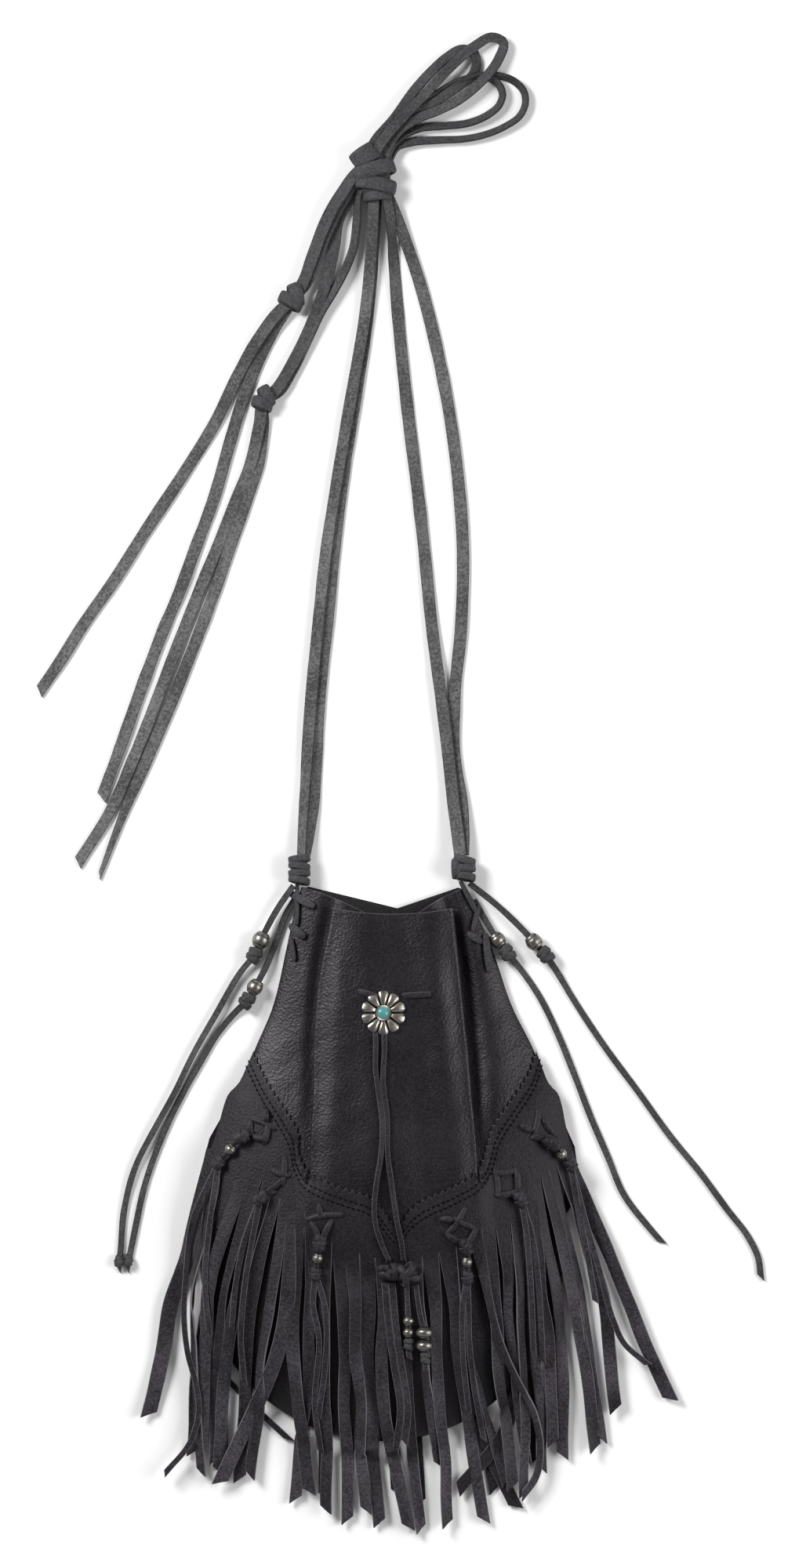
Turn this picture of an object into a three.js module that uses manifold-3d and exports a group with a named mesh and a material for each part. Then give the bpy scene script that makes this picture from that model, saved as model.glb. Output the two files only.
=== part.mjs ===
// A leather drawstring bag with a fringed yoke, lying on its back with its straps laid out above it.
// Millimetres. The floor is z = 0, +Y runs from the fringe to the straps, and +Z is the bag's front.
import * as THREE from 'three';
import { mergeVertices } from 'three/addons/utils/BufferGeometryUtils.js';
import Module from 'manifold-3d';

const wasm = await Module();
wasm.setup();

// Leather and clearances
const WALL = 1.4;
const FRINGE_WALL = 1.2;
const GAP = 0.3;
const STRAP_LACE = { width: 5.4, thick: 1.4, bevel: 0.4 };
const LOOP_LACE = { width: 4.6, thick: 1.4, bevel: 0.4 };
const DANGLE_LACE = { width: 3.8, thick: 1.3, bevel: 0.4 };
const DRAWN_LACE = { width: 3.8, thick: 1.3, bevel: 0 };
const BEAD_LACE = { width: 2, thick: 1.2, bevel: 0 };
const TIE_LACE = { width: 2.6, thick: 1.1, bevel: 0 };
const FLOOR_LACE = 0.95;

// Heights of what lies on what
const BACK_REST = FRINGE_WALL + GAP;
const SEAM = BACK_REST + WALL + GAP;
const YOKE_LIFT = 1.05;
const LAYER_STEP = 1.5;
const ON_FRONT = 1.55;
const YOKE_TOP = YOKE_LIFT + FRINGE_WALL;
const ON_YOKE = YOKE_TOP + GAP + 0.75;
const ON_FRINGE = YOKE_TOP + LAYER_STEP + GAP + 0.7;

// Outline of the pouch above its round lower end, a row for each section
const BASE = { x: -13.5, y: -24.7, radius: 88 };
const OUTLINE = [
  { y: 156, left: -50.5, right: 25 },
  { y: 140, left: -55.5, right: 31.5 },
  { y: 122, left: -60, right: 40.5 },
  { y: 97, left: -66.5, right: 50 },
  { y: 77, left: -75, right: 60 },
  { y: 58, left: -82.5, right: 67.5 },
  { y: 40, left: -90, right: 71.5 },
  { y: 20, left: -96.5, right: 74.2 },
  { y: 0, left: -100, right: 75 },
  { y: BASE.y, left: BASE.x - BASE.radius, right: BASE.x + BASE.radius },
];

// Height of the front panel, and how far the middle panel stands above its sides
const PROFILE = [
  { y: 156, dome: 7.5, lift: 6.5 },
  { y: 122, dome: 10.5, lift: 7 },
  { y: 77, dome: 14, lift: 7 },
  { y: 40, dome: 18.5, lift: 6 },
  { y: 0, dome: 21.5, lift: 5 },
  { y: -25, dome: 21, lift: 5 },
  { y: -60, dome: 17, lift: 5 },
  { y: -90, dome: 11, lift: 5 },
  { y: -105, dome: 7.5, lift: 5 },
  { y: -112, dome: 5, lift: 5 },
];
const DOME_POWER = 2.6;
const DOME_ROUND = 0.75;

// The box pleat: its two edges, and how far the sides are tucked under it
const PLEAT = [
  { y: 150, left: -37.5, right: 21.2, tuck: 11 },
  { y: 113, left: -44, right: 24.6, tuck: 10 },
  { y: 79, left: -46.6, right: 28, tuck: 8 },
  { y: 55, left: -46.6, right: 29.8, tuck: 6 },
  { y: 33, left: -47.7, right: 32, tuck: 4 },
];
const PLEAT_TURN = 0.9;
const PLEAT_FADE = { start: 12, end: 42 };

// Soft ridges (plus) and hollows (minus) down the middle panel
const FOLDS = [
  { name: 'left_ridge', top: -33, bottom: -41, width: 5, height: 1.2 },
  { name: 'left_hollow', top: -20, bottom: -15, width: 6, height: -1.6 },
  { name: 'middle_ridge', top: -5, bottom: -4, width: 5, height: 0.8 },
  { name: 'right_hollow', top: 6, bottom: 12, width: 6, height: -1.4 },
  { name: 'right_ridge', top: 16, bottom: 25, width: 5, height: 1 },
];
const FOLD_RANGE = { top: 150, bottom: 0, fade: -45 };

// The mouth: how far its edge rises at the corners and dips in the middle
const MOUTH = { y: 150, corner: 5.5, pleat: -4.6, middle: -7.2, fade: 50 };
const BACK_NOTCH = [[-49, 155.9], [-5.9, 145.4], [23.5, 155.4]];
const FRONT_ROWS = [150, 138, 118, 92, 66, 46, 34, 23, 10, -14, -40, -66, -86, -100, -108, -111.4];
const SIDE_STEPS = 4;
const TURN_STEPS = 3;
const MIDDLE_STEPS = 7;

// The front yoke: its pinked V edge above, and the line below which it is cut into strips
const YOKE = [
  { edgeX: -75.5, edgeY: 76.5, cutX: -101, cutY: 18 },
  { edgeX: -66, edgeY: 58, cutX: -88, cutY: 14 },
  { edgeX: -54, edgeY: 38, cutX: -70, cutY: 14 },
  { edgeX: -50, edgeY: 21, cutX: -57, cutY: -2 },
  { edgeX: -37, edgeY: 13, cutX: -43, cutY: -12 },
  { edgeX: -17, edgeY: 6, cutX: -24, cutY: -21 },
  { edgeX: -6, edgeY: -7, cutX: -6, cutY: -24 },
  { edgeX: 4, edgeY: 4, cutX: 11, cutY: -21 },
  { edgeX: 20, edgeY: 12, cutX: 27, cutY: -16 },
  { edgeX: 31, edgeY: 18, cutX: 42, cutY: -9 },
  { edgeX: 36, edgeY: 30, cutX: 55, cutY: -6 },
  { edgeX: 48, edgeY: 52, cutX: 63, cutY: 14 },
  { edgeX: 57, edgeY: 66, cutX: 72, cutY: 22 },
  { edgeX: 61, edgeY: 77, cutX: 81, cutY: 22 },
];
const YOKE_ROWS = 4;
const SKIRT = 6;

// The front fringe, left to right: root, knee and tip of each strip, its width, and what it lies over
const STRIPS = [
  { rootX: -97, rootY: 25, kneeX: -108.9, kneeY: -22.4, tipX: -126.4, tipY: -99.9, width: 7.4, layer: 0 },
  { rootX: -94, rootY: 16, kneeX: -105.1, kneeY: -56.6, tipX: -100.9, tipY: -127.7, width: 4, layer: 1 },
  { rootX: -87, rootY: 16, kneeX: -100.5, kneeY: -56.6, tipX: -105.1, tipY: -118.2, width: 6, layer: 0 },
  { rootX: -80, rootY: 16, kneeX: -97.5, kneeY: -45.2, tipX: -100.5, tipY: -115.9, width: 6.4, layer: 1 },
  { rootX: -74, rootY: 16, kneeX: -92.5, kneeY: -56.6, tipX: -94.8, tipY: -122.4, width: 5, layer: 0 },
  { rootX: -68.5, rootY: 12, kneeX: -87.2, kneeY: -56.6, tipX: -92.5, tipY: -127.3, width: 6.2, layer: 1 },
  { rootX: -64.5, rootY: 8, kneeX: -77.7, kneeY: -56.6, tipX: -82.3, tipY: -131.1, width: 6, layer: 0 },
  { rootX: -60.5, rootY: 4, kneeX: -68.2, kneeY: -52.8, tipX: -77.3, tipY: -129.2, width: 5.4, layer: 1 },
  { rootX: -57, rootY: 0, kneeX: -61, kneeY: -56.6, tipX: -91.8, tipY: -132.6, width: 7.2, layer: 2 },
  { rootX: -53, rootY: -4, kneeX: -56.4, kneeY: -68, tipX: -48.5, tipY: -137.2, width: 6.4, layer: 1 },
  { rootX: -47.5, rootY: -8.5, kneeX: -49.6, kneeY: -75.6, tipX: -55.3, tipY: -141, width: 5.8, layer: 0 },
  { rootX: -41, rootY: -13.5, kneeX: -40.5, kneeY: -83.2, tipX: -40.5, tipY: -145.9, width: 5.8, layer: 1 },
  { rootX: -34, rootY: -17, kneeX: -30.6, kneeY: -90.8, tipX: -30.2, tipY: -151.2, width: 5.8, layer: 0 },
  { rootX: -27.5, rootY: -20, kneeX: -24.5, kneeY: -94.6, tipX: -21.1, tipY: -146.3, width: 5.8, layer: 1 },
  { rootX: -20.3, rootY: -21.5, kneeX: -18.4, kneeY: -94.6, tipX: -14.6, tipY: -152.4, width: 6.2, layer: 0 },
  { rootX: -13, rootY: -22.5, kneeX: -10.8, kneeY: -102.2, tipX: -0.6, tipY: -154.3, width: 6, layer: 1 },
  { rootX: -5.5, rootY: -23, kneeX: -1, kneeY: -98.4, tipX: 5.5, tipY: -155.4, width: 5.4, layer: 0 },
  { rootX: 2, rootY: -22.5, kneeX: 8.6, kneeY: -83.2, tipX: 14.3, tipY: -124.3, width: 5, layer: 0 },
  { rootX: 10, rootY: -20.5, kneeX: 15, kneeY: -90.8, tipX: 18.4, tipY: -152.8, width: 5.6, layer: 1 },
  { rootX: 18, rootY: -18, kneeX: 25.7, kneeY: -79.4, tipX: 35.9, tipY: -150.9, width: 6, layer: 0 },
  { rootX: 25.7, rootY: -15.5, kneeX: 31.7, kneeY: -83.2, tipX: 46.6, tipY: -132.6, width: 4.6, layer: 0 },
  { rootX: 31.7, rootY: -12.5, kneeX: 44.7, kneeY: -77.5, tipX: 61.8, tipY: -128, width: 5, layer: 2 },
  { rootX: 38, rootY: -9.5, kneeX: 42.4, kneeY: -68, tipX: 50, tipY: -134.5, width: 6, layer: 1 },
  { rootX: 45, rootY: -7.5, kneeX: 49.2, kneeY: -60.4, tipX: 56.8, tipY: -122, width: 5, layer: 0 },
  { rootX: 51.5, rootY: -6, kneeX: 55.3, kneeY: -68, tipX: 55.3, tipY: -138.3, width: 4.6, layer: 1 },
  { rootX: 56, rootY: -2, kneeX: 61.4, kneeY: -68, tipX: 64, tipY: -126.2, width: 5, layer: 0 },
  { rootX: 58.5, rootY: 6, kneeX: 67.5, kneeY: -68, tipX: 69.4, tipY: -113.6, width: 5.6, layer: 1 },
  { rootX: 61.5, rootY: 12, kneeX: 73.5, kneeY: -60.4, tipX: 73.9, tipY: -119.7, width: 6, layer: 0 },
  { rootX: 65.5, rootY: 17, kneeX: 80.7, kneeY: -52.8, tipX: 89.9, tipY: -116.3, width: 6, layer: 1 },
  { rootX: 69, rootY: 20, kneeX: 84.6, kneeY: -56.6, tipX: 93.3, tipY: -112.1, width: 4.6, layer: 0 },
  { rootX: 73, rootY: 22, kneeX: 89.1, kneeY: -26.2, tipX: 99.8, tipY: -97.3, width: 6.4, layer: 1 },
  { rootX: 78, rootY: 23, kneeX: 96, kneeY: -22.4, tipX: 126.4, tipY: -92.3, width: 6.6, layer: 0 },
];
const FRONT_STRIP_STEPS = 6;
const BACK_STRIP_STEPS = 2;
const STRIP_SLANT = 2.2;
const ROOT_OVERLAP = 4;
const ROOT_THINNING = 0.2;

// The back yoke and its strips, which the bag lies on
const BACK_YOKE = [
  [-88, 50], [-8, 14], [71, 50], [80, 30], [83, 8], [62, -24], [-13, -38], [-88, -24], [-104, 8], [-97, 34],
];
const BACK_STRIPS = [
  { rootX: -92, rootY: -16, kneeX: -98, kneeY: -60, tipX: -97, tipY: -111, width: 6 },
  { rootX: -82, rootY: -24, kneeX: -90, kneeY: -70, tipX: -91, tipY: -118, width: 6 },
  { rootX: -72, rootY: -25, kneeX: -78, kneeY: -70, tipX: -80, tipY: -118, width: 6 },
  { rootX: -60, rootY: -27, kneeX: -52, kneeY: -80, tipX: -53, tipY: -130, width: 6 },
  { rootX: -48, rootY: -29, kneeX: -42, kneeY: -85, tipX: -41, tipY: -136, width: 6 },
  { rootX: -36, rootY: -31, kneeX: -30, kneeY: -88, tipX: -30, tipY: -142, width: 6 },
  { rootX: -24, rootY: -34, kneeX: -20, kneeY: -90, tipX: -18, tipY: -142, width: 6 },
  { rootX: -12, rootY: -36, kneeX: -9, kneeY: -92, tipX: -6, tipY: -138, width: 6 },
  { rootX: 0, rootY: -34, kneeX: 2, kneeY: -92, tipX: 5, tipY: -143, width: 6 },
  { rootX: 12, rootY: -31, kneeX: 30, kneeY: -100, tipX: 51.5, tipY: -144.6, width: 6.2 },
  { rootX: 24, rootY: -29, kneeX: 36, kneeY: -105, tipX: 41.4, tipY: -136.4, width: 6 },
  { rootX: 38, rootY: -27, kneeX: 46, kneeY: -108, tipX: 23.5, tipY: -136, width: 6.2 },
  { rootX: 50, rootY: -25, kneeX: 57, kneeY: -80, tipX: 61, tipY: -122, width: 5.6 },
  { rootX: 62, rootY: -22, kneeX: 71, kneeY: -70, tipX: 73, tipY: -112, width: 6 },
  { rootX: 72, rootY: -8, kneeX: 83, kneeY: -60, tipX: 90, tipY: -105, width: 6 },
];

// The concho: ten petals round a bezel
const CONCHO = { x: -12.7, y: 95.2, radius: 11, petals: 10 };
const CONCHO_RINGS = [
  { r: 3.4, z: 1.2, petal: 0 },
  { r: 3.5, z: 2.3, petal: 0 },
  { r: 4.2, z: 2.3, petal: 0 },
  { r: 4.6, z: 1.4, petal: 0.2 },
  { r: 8, z: 1.4, petal: 0.9 },
  { r: 11, z: 0.6, petal: 0.5 },
];
const STONE = { radius: 3, rim: 0.6, height: 2.2 };

// The drawstring on the front, rows of x, y and height above what it lies on
const DRAWSTRING_BAR = [[-24.5, 104.5, ON_FRONT], [-8, 104.4, ON_FRONT], [9.8, 103.7, ON_FRONT]];
const DRAWSTRING_LEFT = [
  [-17.8, 88, ON_FRONT], [-19, 81, ON_FRONT], [-17.5, 66.9, ON_FRONT], [-15.5, 48.6, ON_FRONT],
  [-15.5, 30.4, ON_FRONT], [-16.4, 18.4, 2.6], [-16.2, 3.8, ON_YOKE], [-13, -12, ON_YOKE],
  [-10, -22, ON_YOKE],
];
const DRAWSTRING_RIGHT = [
  [-13.2, 88, ON_FRONT], [-14.2, 81.3, ON_FRONT], [-12.2, 66.9, ON_FRONT], [-10, 48.6, ON_FRONT],
  [-9.5, 30.4, ON_FRONT], [-8, 18, 2], [-6.5, 6.3, 3], [-4, -11.8, ON_YOKE], [-3, -22, ON_YOKE],
];
const DRAWSTRING_KNOT = { x: -5, y: -30, radius: 6.5, length: 21, height: 9 };
const PLAIN_TAILS = [
  [[-12.4, -37.5], [-10.1, -56.2], [-7.4, -75.2], [-4.4, -98], [-6.7, -116.7]],
  [[-9.4, -37.5], [-7, -56.2], [-4.3, -75.2], [-1.3, -98], [-2.6, -113]],
];
const BEAD_TAILS = [
  {
    name: 'small', route: [[-1.4, -37.5], [-0.6, -46], [-0.6, -62]], knot: [-0.5, -64.8],
    beads: [-53.4, -59], radius: 2.85, x: -0.6,
  },
  {
    name: 'large', route: [[3, -37.5], [6.4, -48], [7.2, -67]], knot: [7.6, -71.4], beads: [-59, -65.3],
    radius: 4.3, x: 7.1,
  },
];

// Lace ties through the yoke: rise above it, cross, knot, stop knot and the ends of two tails
const TIES = [
  {
    name: '1', lift: 0.3, cross: [-71.3, 40.8], knot: [-81, 35.4], stop: [-92.3, 22.6],
    tails: [[-105, -20], [-97, -34]],
  },
  { name: '2', lift: 0, cross: [-61.9, 18], knot: [-72, 6], tails: [[-82, -74], [-85, -52]] },
  {
    name: '3', lift: 0, cross: [-42.4, -6.5], knot: [-43.4, -15.5], stop: [-45.4, -30.5],
    tails: [[-44, -104], [-40, -92]],
  },
  {
    name: '4', lift: 0, cross: [24.9, -8], knot: [27.2, -17.5], stop: [27.9, -32.2],
    tails: [[30, -100], [26.6, -84]],
  },
  { name: '5', lift: 0, cross: [46.2, 13.3], knot: [53.8, 5.3], tails: [[64.5, -62], [58.6, -58]] },
  {
    name: '6', lift: 1.3, cross: [63.4, 39.9], knot: [68.6, 32], stop: [78, 21.4],
    tails: [[97, -42], [88, -34]],
  },
];
const TIE_CROSS = 11;
const TIE_KNOT = { radius: 3, length: 5.4 };
const TIE_BEAD = { radius: 2.75, length: 4.8, bore: 1.8 };
const TIE_HEIGHT = YOKE_TOP + 2 * GAP + 3;
const TIE_TAIL = ON_FRINGE + 1.4;

// Knots at the corners of the mouth, and the lace through the holes below them
const SIDE_KNOTS = {
  left: { x: -53.4, y: 163.8, z: 6.2, radius: 5.7, length: 13.6 },
  right: { x: 26, y: 164.5, z: 6.2, radius: 6, length: 11.4 },
};
const EDGE_LACING = {
  left: [[-51.6, 156.5], [-50.6, 150], [-51.8, 140], [-53, 133], [-53.4, 125]],
  right: [[24.4, 158.3], [23.8, 151], [26, 143], [30.8, 132], [35.6, 117]],
};

// Laces that hang from the corners, lying on the floor: route, bead and knot
const DANGLES = {
  left_1: {
    route: [
      [-56.2, 156.4, 5.2], [-63.4, 146, 4.6], [-72, 130, 4.4], [-75.4, 122.6, 4.3], [-81, 115.6, 3],
      [-94.1, 93.5, 2.8],
      [-104.7, 74.9, 2.8], [-113.8, 56.2, 2.8], [-122.6, 40.1, 2.8], [-132.8, 20.3, 2], [-138.5, -1.9, 1],
      [-140.2, -21.7, FLOOR_LACE], [-141.4, -29.6, FLOOR_LACE],
    ],
    bead: { x: -72, y: 130, z: 4.4, radius: 4.2 },
    knot: { x: -75.2, y: 122.8, z: 4.3 },
  },
  left_2: {
    route: [
      [-55.8, 149.5, 2.4], [-60.2, 142, 1.8], [-64.4, 130, 1.4], [-70.4, 115.4, 3.6], [-75, 107, 4],
      [-79, 100.4, 4], [-83.5, 96, 2],
      [-93.5, 84, FLOOR_LACE], [-101.3, 71, FLOOR_LACE], [-113, 49.7, FLOOR_LACE], [-121, 32.2, FLOOR_LACE],
      [-128.4, 11, FLOOR_LACE], [-133, -9.9, FLOOR_LACE], [-135.4, -21.7, FLOOR_LACE],
      [-137, -29.6, FLOOR_LACE],
    ],
    bead: { x: -74.9, y: 107.2, z: 4, radius: 3.85 },
    knot: { x: -78.8, y: 100.8, z: 4 },
  },
  right_1: {
    route: [
      [31.2, 149.5, 2.4], [34.8, 143, 2.8], [42.6, 130, 4], [47.4, 123.6, 4], [52.4, 117.6, 2],
      [62, 104.1, FLOOR_LACE],
      [72.4, 83.2, FLOOR_LACE], [79.5, 65.7, FLOOR_LACE], [88, 43.7, FLOOR_LACE], [96, 25.1, FLOOR_LACE],
      [103.9, 6.5, FLOOR_LACE], [115.5, -8.7, FLOOR_LACE], [122.6, -16.9, FLOOR_LACE],
    ],
    bead: { x: 42.6, y: 130, z: 4, radius: 3.85 },
    knot: { x: 47.2, y: 123.8, z: 4 },
  },
  right_2: {
    route: [
      [28.9, 157.6, 5.4], [44, 145.4, 4.4], [60.2, 129.2, 4.1], [66, 122.6, 4.1], [70.5, 116, 2],
      [78.3, 103, FLOOR_LACE],
      [94.4, 78.5, FLOOR_LACE], [110.8, 56.4, FLOOR_LACE], [126, 35.3, FLOOR_LACE], [141.2, 16.7, FLOOR_LACE],
      [153.9, -0.6, FLOOR_LACE], [164.4, -14.4, FLOOR_LACE], [168.9, -23.9, FLOOR_LACE],
      [170.4, -33.8, FLOOR_LACE],
    ],
    bead: { x: 60.2, y: 129.2, z: 4.1, radius: 4 },
    knot: { x: 65.8, y: 122.8, z: 4.1 },
  },
};
const DANGLE_STEPS = 13;
const DANGLE_KNOT = { radius: 4.1, length: 7 };
const BEAD_STEPS = 3;
const DANGLE_BORE = 2.6;

// The strap: four laces from the corner knots to the strap knot
const STRAPS = {
  left_1: [
    [-17.3, 486.8, 6.8], [-17.6, 479, 5.4], [-21.5, 433.6, 2.8], [-27.9, 395.6, 2.8], [-34.4, 357.6, 2.8],
    [-40.5, 319.6, 2.8], [-44.8, 281.6, 2.8], [-48.2, 243.6, 2.8], [-50.4, 205.6, 3.6],
    [-51.8, 182, 5.4], [-52.2, 171, 6.6],
  ],
  left_2: [
    [-16.2, 486.6, 4.8], [-16.8, 479, 3.2], [-20, 433.6, FLOOR_LACE], [-25.7, 395.6, FLOOR_LACE],
    [-31.7, 357.6, FLOOR_LACE], [-36.3, 319.6, FLOOR_LACE], [-40, 281.6, FLOOR_LACE],
    [-43.9, 243.6, FLOOR_LACE],
    [-45.8, 205.6, 1.4], [-48.4, 182, 3.4], [-50.5, 171, 4.8],
  ],
  right_1: [
    [-9.6, 487.6, 4.4], [-6, 479, 2.8], [4.8, 448.8, FLOOR_LACE], [12.7, 418.4, FLOOR_LACE],
    [18.8, 388, FLOOR_LACE],
    [23, 357.6, FLOOR_LACE], [25.8, 319.6, FLOOR_LACE], [24.9, 281.6, FLOOR_LACE], [21.6, 245, FLOOR_LACE],
    [21.9, 217, FLOOR_LACE], [25.4, 195, 1.6], [26, 182, 3.2], [26, 171, 4.6],
  ],
  right_2: [
    [-10.8, 487, 7], [-9.4, 479, 5.6], [-7.7, 460, 2], [-6.3, 441.2, FLOOR_LACE],
    [-3.6, 410.8, FLOOR_LACE], [-0.2, 380.4, FLOOR_LACE],
    [3.6, 350, FLOOR_LACE], [7, 319.6, FLOOR_LACE], [10.8, 281.6, 1.6], [15.6, 245, 2.9],
    [19.2, 217, 2.9], [21.6, 195, 3.8],
    [23.2, 182, 5.6], [24.5, 171, 7],
  ],
};
const STRAP_STEPS = 12;
const STRAP_KNOT = { x: -16.9, y: 500.6, z: 6.8, radius: 11, length: 26, height: 13 };

// The loops of lace above the strap knot
const LOOPS = [
  [
    [-13.9, 515.6, 8.4], [-4.8, 526.7, 7.6], [8.6, 540.7, 6.4], [20.7, 553.7, 5.2], [31.4, 562.8, 4],
    [41.6, 567.7, 3.4],
    [45.8, 565.1, 3.2], [43.1, 556.7, 3.4], [38.6, 549.9, 3.6], [23.8, 536.9, 3], [2.9, 527.4, 3.4],
    [-5.5, 521.7, 4.4], [-9.7, 515.4, 5],
  ],
  [
    [-17.2, 516, 7], [-7.4, 527.8, 6.2], [2.1, 541.1, 5], [10.5, 550.6, 4], [25.7, 561.6, 2.4],
    [31, 560.1, 2.2],
    [32.5, 555.2, 2.2], [30.6, 549.1, 2.4], [14.3, 537.3, 3.6], [-4, 522.9, 5], [-11.2, 516.2, 5.6],
  ],
  [
    [-12.4, 515.6, 4.6], [-1, 528.6, 4.2], [12.4, 539.2, 3], [29.5, 547.6, 2], [37.8, 548, 1.6],
    [42.8, 544.9, 1.4],
    [45, 540, 1.2], [43.5, 534.7, 1], [37.8, 529.7, 1], [16.2, 524.4, 1.4], [-4, 519.5, 3.4],
    [-8, 515.8, 4.4],
  ],
  [
    [-11, 514.8, 3.2], [1, 527.8, 2.6], [14.3, 538, 1.8], [34, 548.7, 1], [43.1, 548.7, FLOOR_LACE],
    [51.1, 545.7, FLOOR_LACE],
    [55.7, 540.7, FLOOR_LACE], [56.4, 535, FLOOR_LACE], [53.4, 529.3, FLOOR_LACE], [46.6, 524.4, FLOOR_LACE],
    [27.6, 518.3, FLOOR_LACE], [1, 516.6, 2], [-6, 514.6, 3],
  ],
];
const LOOP_STEPS = 10;

// The two pairs of tails below the strap knot, each tied once
const TAILS = {
  left: {
    routes: [
      [
        [-28.9, 497.4, 7.4], [-31.6, 493.2, 7.2], [-41.6, 475.4, 6], [-47.3, 460.2, 4.6],
        [-56.4, 440.8, 5.2], [-75, 418.4, 2.4],
        [-83.4, 403.2, FLOOR_LACE], [-94.4, 380.4, FLOOR_LACE], [-108.5, 357.6, FLOOR_LACE],
        [-128.6, 327.2, FLOOR_LACE],
        [-159, 281.6, FLOOR_LACE], [-179.6, 250.4, FLOOR_LACE],
      ],
      [
        [-29.3, 494, 5.9], [-31.2, 490.2, 5.7], [-39.7, 473.5, 4.8], [-45.4, 460.2, 3.8], [-56.4, 440.8, 3.8],
        [-65.6, 426, 1.4], [-73.2, 410.8, FLOOR_LACE], [-80.2, 393.7, FLOOR_LACE], [-87, 372.8, FLOOR_LACE],
        [-95.2, 342.4, FLOOR_LACE], [-112.3, 296.8, FLOOR_LACE], [-132.8, 243.6, FLOOR_LACE],
        [-149.5, 199, FLOOR_LACE],
      ],
    ],
    knot: { x: -56.4, y: 440.8, z: 4.5, radius: 5.6, length: 10.6, height: 8.4, angle: 54 },
  },
  right: {
    routes: [
      [
        [-26.6, 493.4, 2.8], [-29.8, 488, 2.5], [-34.4, 479.2, 2.2], [-36.7, 465.9, 2.4],
        [-40.5, 448.8, 2.4], [-45.4, 433.6, 2.4],
        [-51.1, 420.3, 2.4], [-59.1, 405.1, 3.4], [-70.5, 391.4, 4.4], [-72.6, 380.4, 3],
        [-76.8, 361.4, FLOOR_LACE],
        [-84.4, 342.4, FLOOR_LACE], [-93.4, 319.6, FLOOR_LACE], [-108.9, 281.6, FLOOR_LACE],
        [-132.6, 220.8, FLOOR_LACE],
        [-146.4, 190.4, FLOOR_LACE], [-160.9, 167.2, FLOOR_LACE],
      ],
      [
        [-27, 488.4, 4.4], [-26.4, 475.4, 2], [-27.6, 464, FLOOR_LACE], [-31.4, 454.5, FLOOR_LACE],
        [-43.5, 433.6, FLOOR_LACE], [-49.6, 421.4, FLOOR_LACE], [-57.6, 405.1, 2], [-70.5, 391.4, 3],
        [-70.9, 380.4, 1.6], [-73.2, 361.4, FLOOR_LACE], [-79.2, 342.4, FLOOR_LACE],
        [-87.4, 319.6, FLOOR_LACE],
        [-101, 281.6, FLOOR_LACE], [-125.4, 220.8, FLOOR_LACE], [-138.8, 190.4, FLOOR_LACE],
        [-150.3, 160.4, FLOOR_LACE],
      ],
    ],
    knot: { x: -70.5, y: 391.4, z: 4.5, radius: 5.4, length: 11.6, height: 8.4, angle: 62 },
  },
};
const TAIL_STEPS = 12;

// Colours and finishes
const FINISH = {
  leather: { color: 0x1d1d1f, roughness: 0.55, metalness: 0 },
  fringe: { color: 0x2b2a2d, roughness: 0.8, metalness: 0 },
  lace: { color: 0x35343a, roughness: 0.85, metalness: 0 },
  pewter: { color: 0x8d8a86, roughness: 0.32, metalness: 0.9 },
  silver: { color: 0xa9a6a0, roughness: 0.35, metalness: 0.95 },
  turquoise: { color: 0x3fb0ae, roughness: 0.35, metalness: 0 },
};

const smooth = (low, high, value) => THREE.MathUtils.smoothstep(value, low, high);
const lerp = THREE.MathUtils.lerp;

// A column of a table read at a height y, by a smooth curve through its rows.
function at(rows, key, y) {
  const last = rows.length - 1;
  if (y >= rows[0].y) {
    return rows[0][key];
  }
  if (y <= rows[last].y) {
    return rows[last][key];
  }
  const i = rows.findIndex((row, k) => k < last && y <= row.y && y > rows[k + 1].y);
  const slope = (k) => {
    const above = rows[Math.max(k - 1, 0)];
    const below = rows[Math.min(k + 1, last)];
    return (below[key] - above[key]) / (below.y - above.y);
  };
  const span = rows[i + 1].y - rows[i].y;
  const t = (y - rows[i].y) / span;
  const from = rows[i][key] * (1 + 2 * t) * (1 - t) ** 2 + slope(i) * span * t * (1 - t) ** 2;
  const to = rows[i + 1][key] * t * t * (3 - 2 * t) + slope(i + 1) * span * t * t * (t - 1);
  return from + to;
}

// Left and right edge of the pouch at y, grown outwards by a margin.
function edges(y, grow = 0) {
  if (y >= BASE.y) {
    return [at(OUTLINE, 'left', y) - grow, at(OUTLINE, 'right', y) + grow];
  }
  const radius = BASE.radius + grow;
  const half = Math.sqrt(Math.max(radius ** 2 - (y - BASE.y) ** 2, 0));
  return [BASE.x - half, BASE.x + half];
}

// Height of a plain dome over the pouch's outline, from its foot at the edge.
function dome(x, y, foot, grow = 0, rise = 0) {
  const [left, right] = edges(y, grow);
  const across = Math.abs((2 * x - left - right) / Math.max(right - left, 1e-6));
  if (across >= 1) {
    return foot;
  }
  const peak = Math.max(at(PROFILE, 'dome', y) + rise, foot);
  return foot + (peak - foot) * (1 - across ** DOME_POWER) ** DOME_ROUND;
}

// The soft ridges and hollows of the middle panel.
function folds(x, y) {
  const down = THREE.MathUtils.clamp((FOLD_RANGE.top - y) / (FOLD_RANGE.top - FOLD_RANGE.bottom), 0, 1);
  const strength = smooth(FOLD_RANGE.fade, FOLD_RANGE.bottom, y);
  return FOLDS.reduce((sum, fold) => {
    const away = (x - lerp(fold.top, fold.bottom, down)) / fold.width;
    return sum + strength * fold.height * Math.exp(-away * away);
  }, 0);
}

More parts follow.
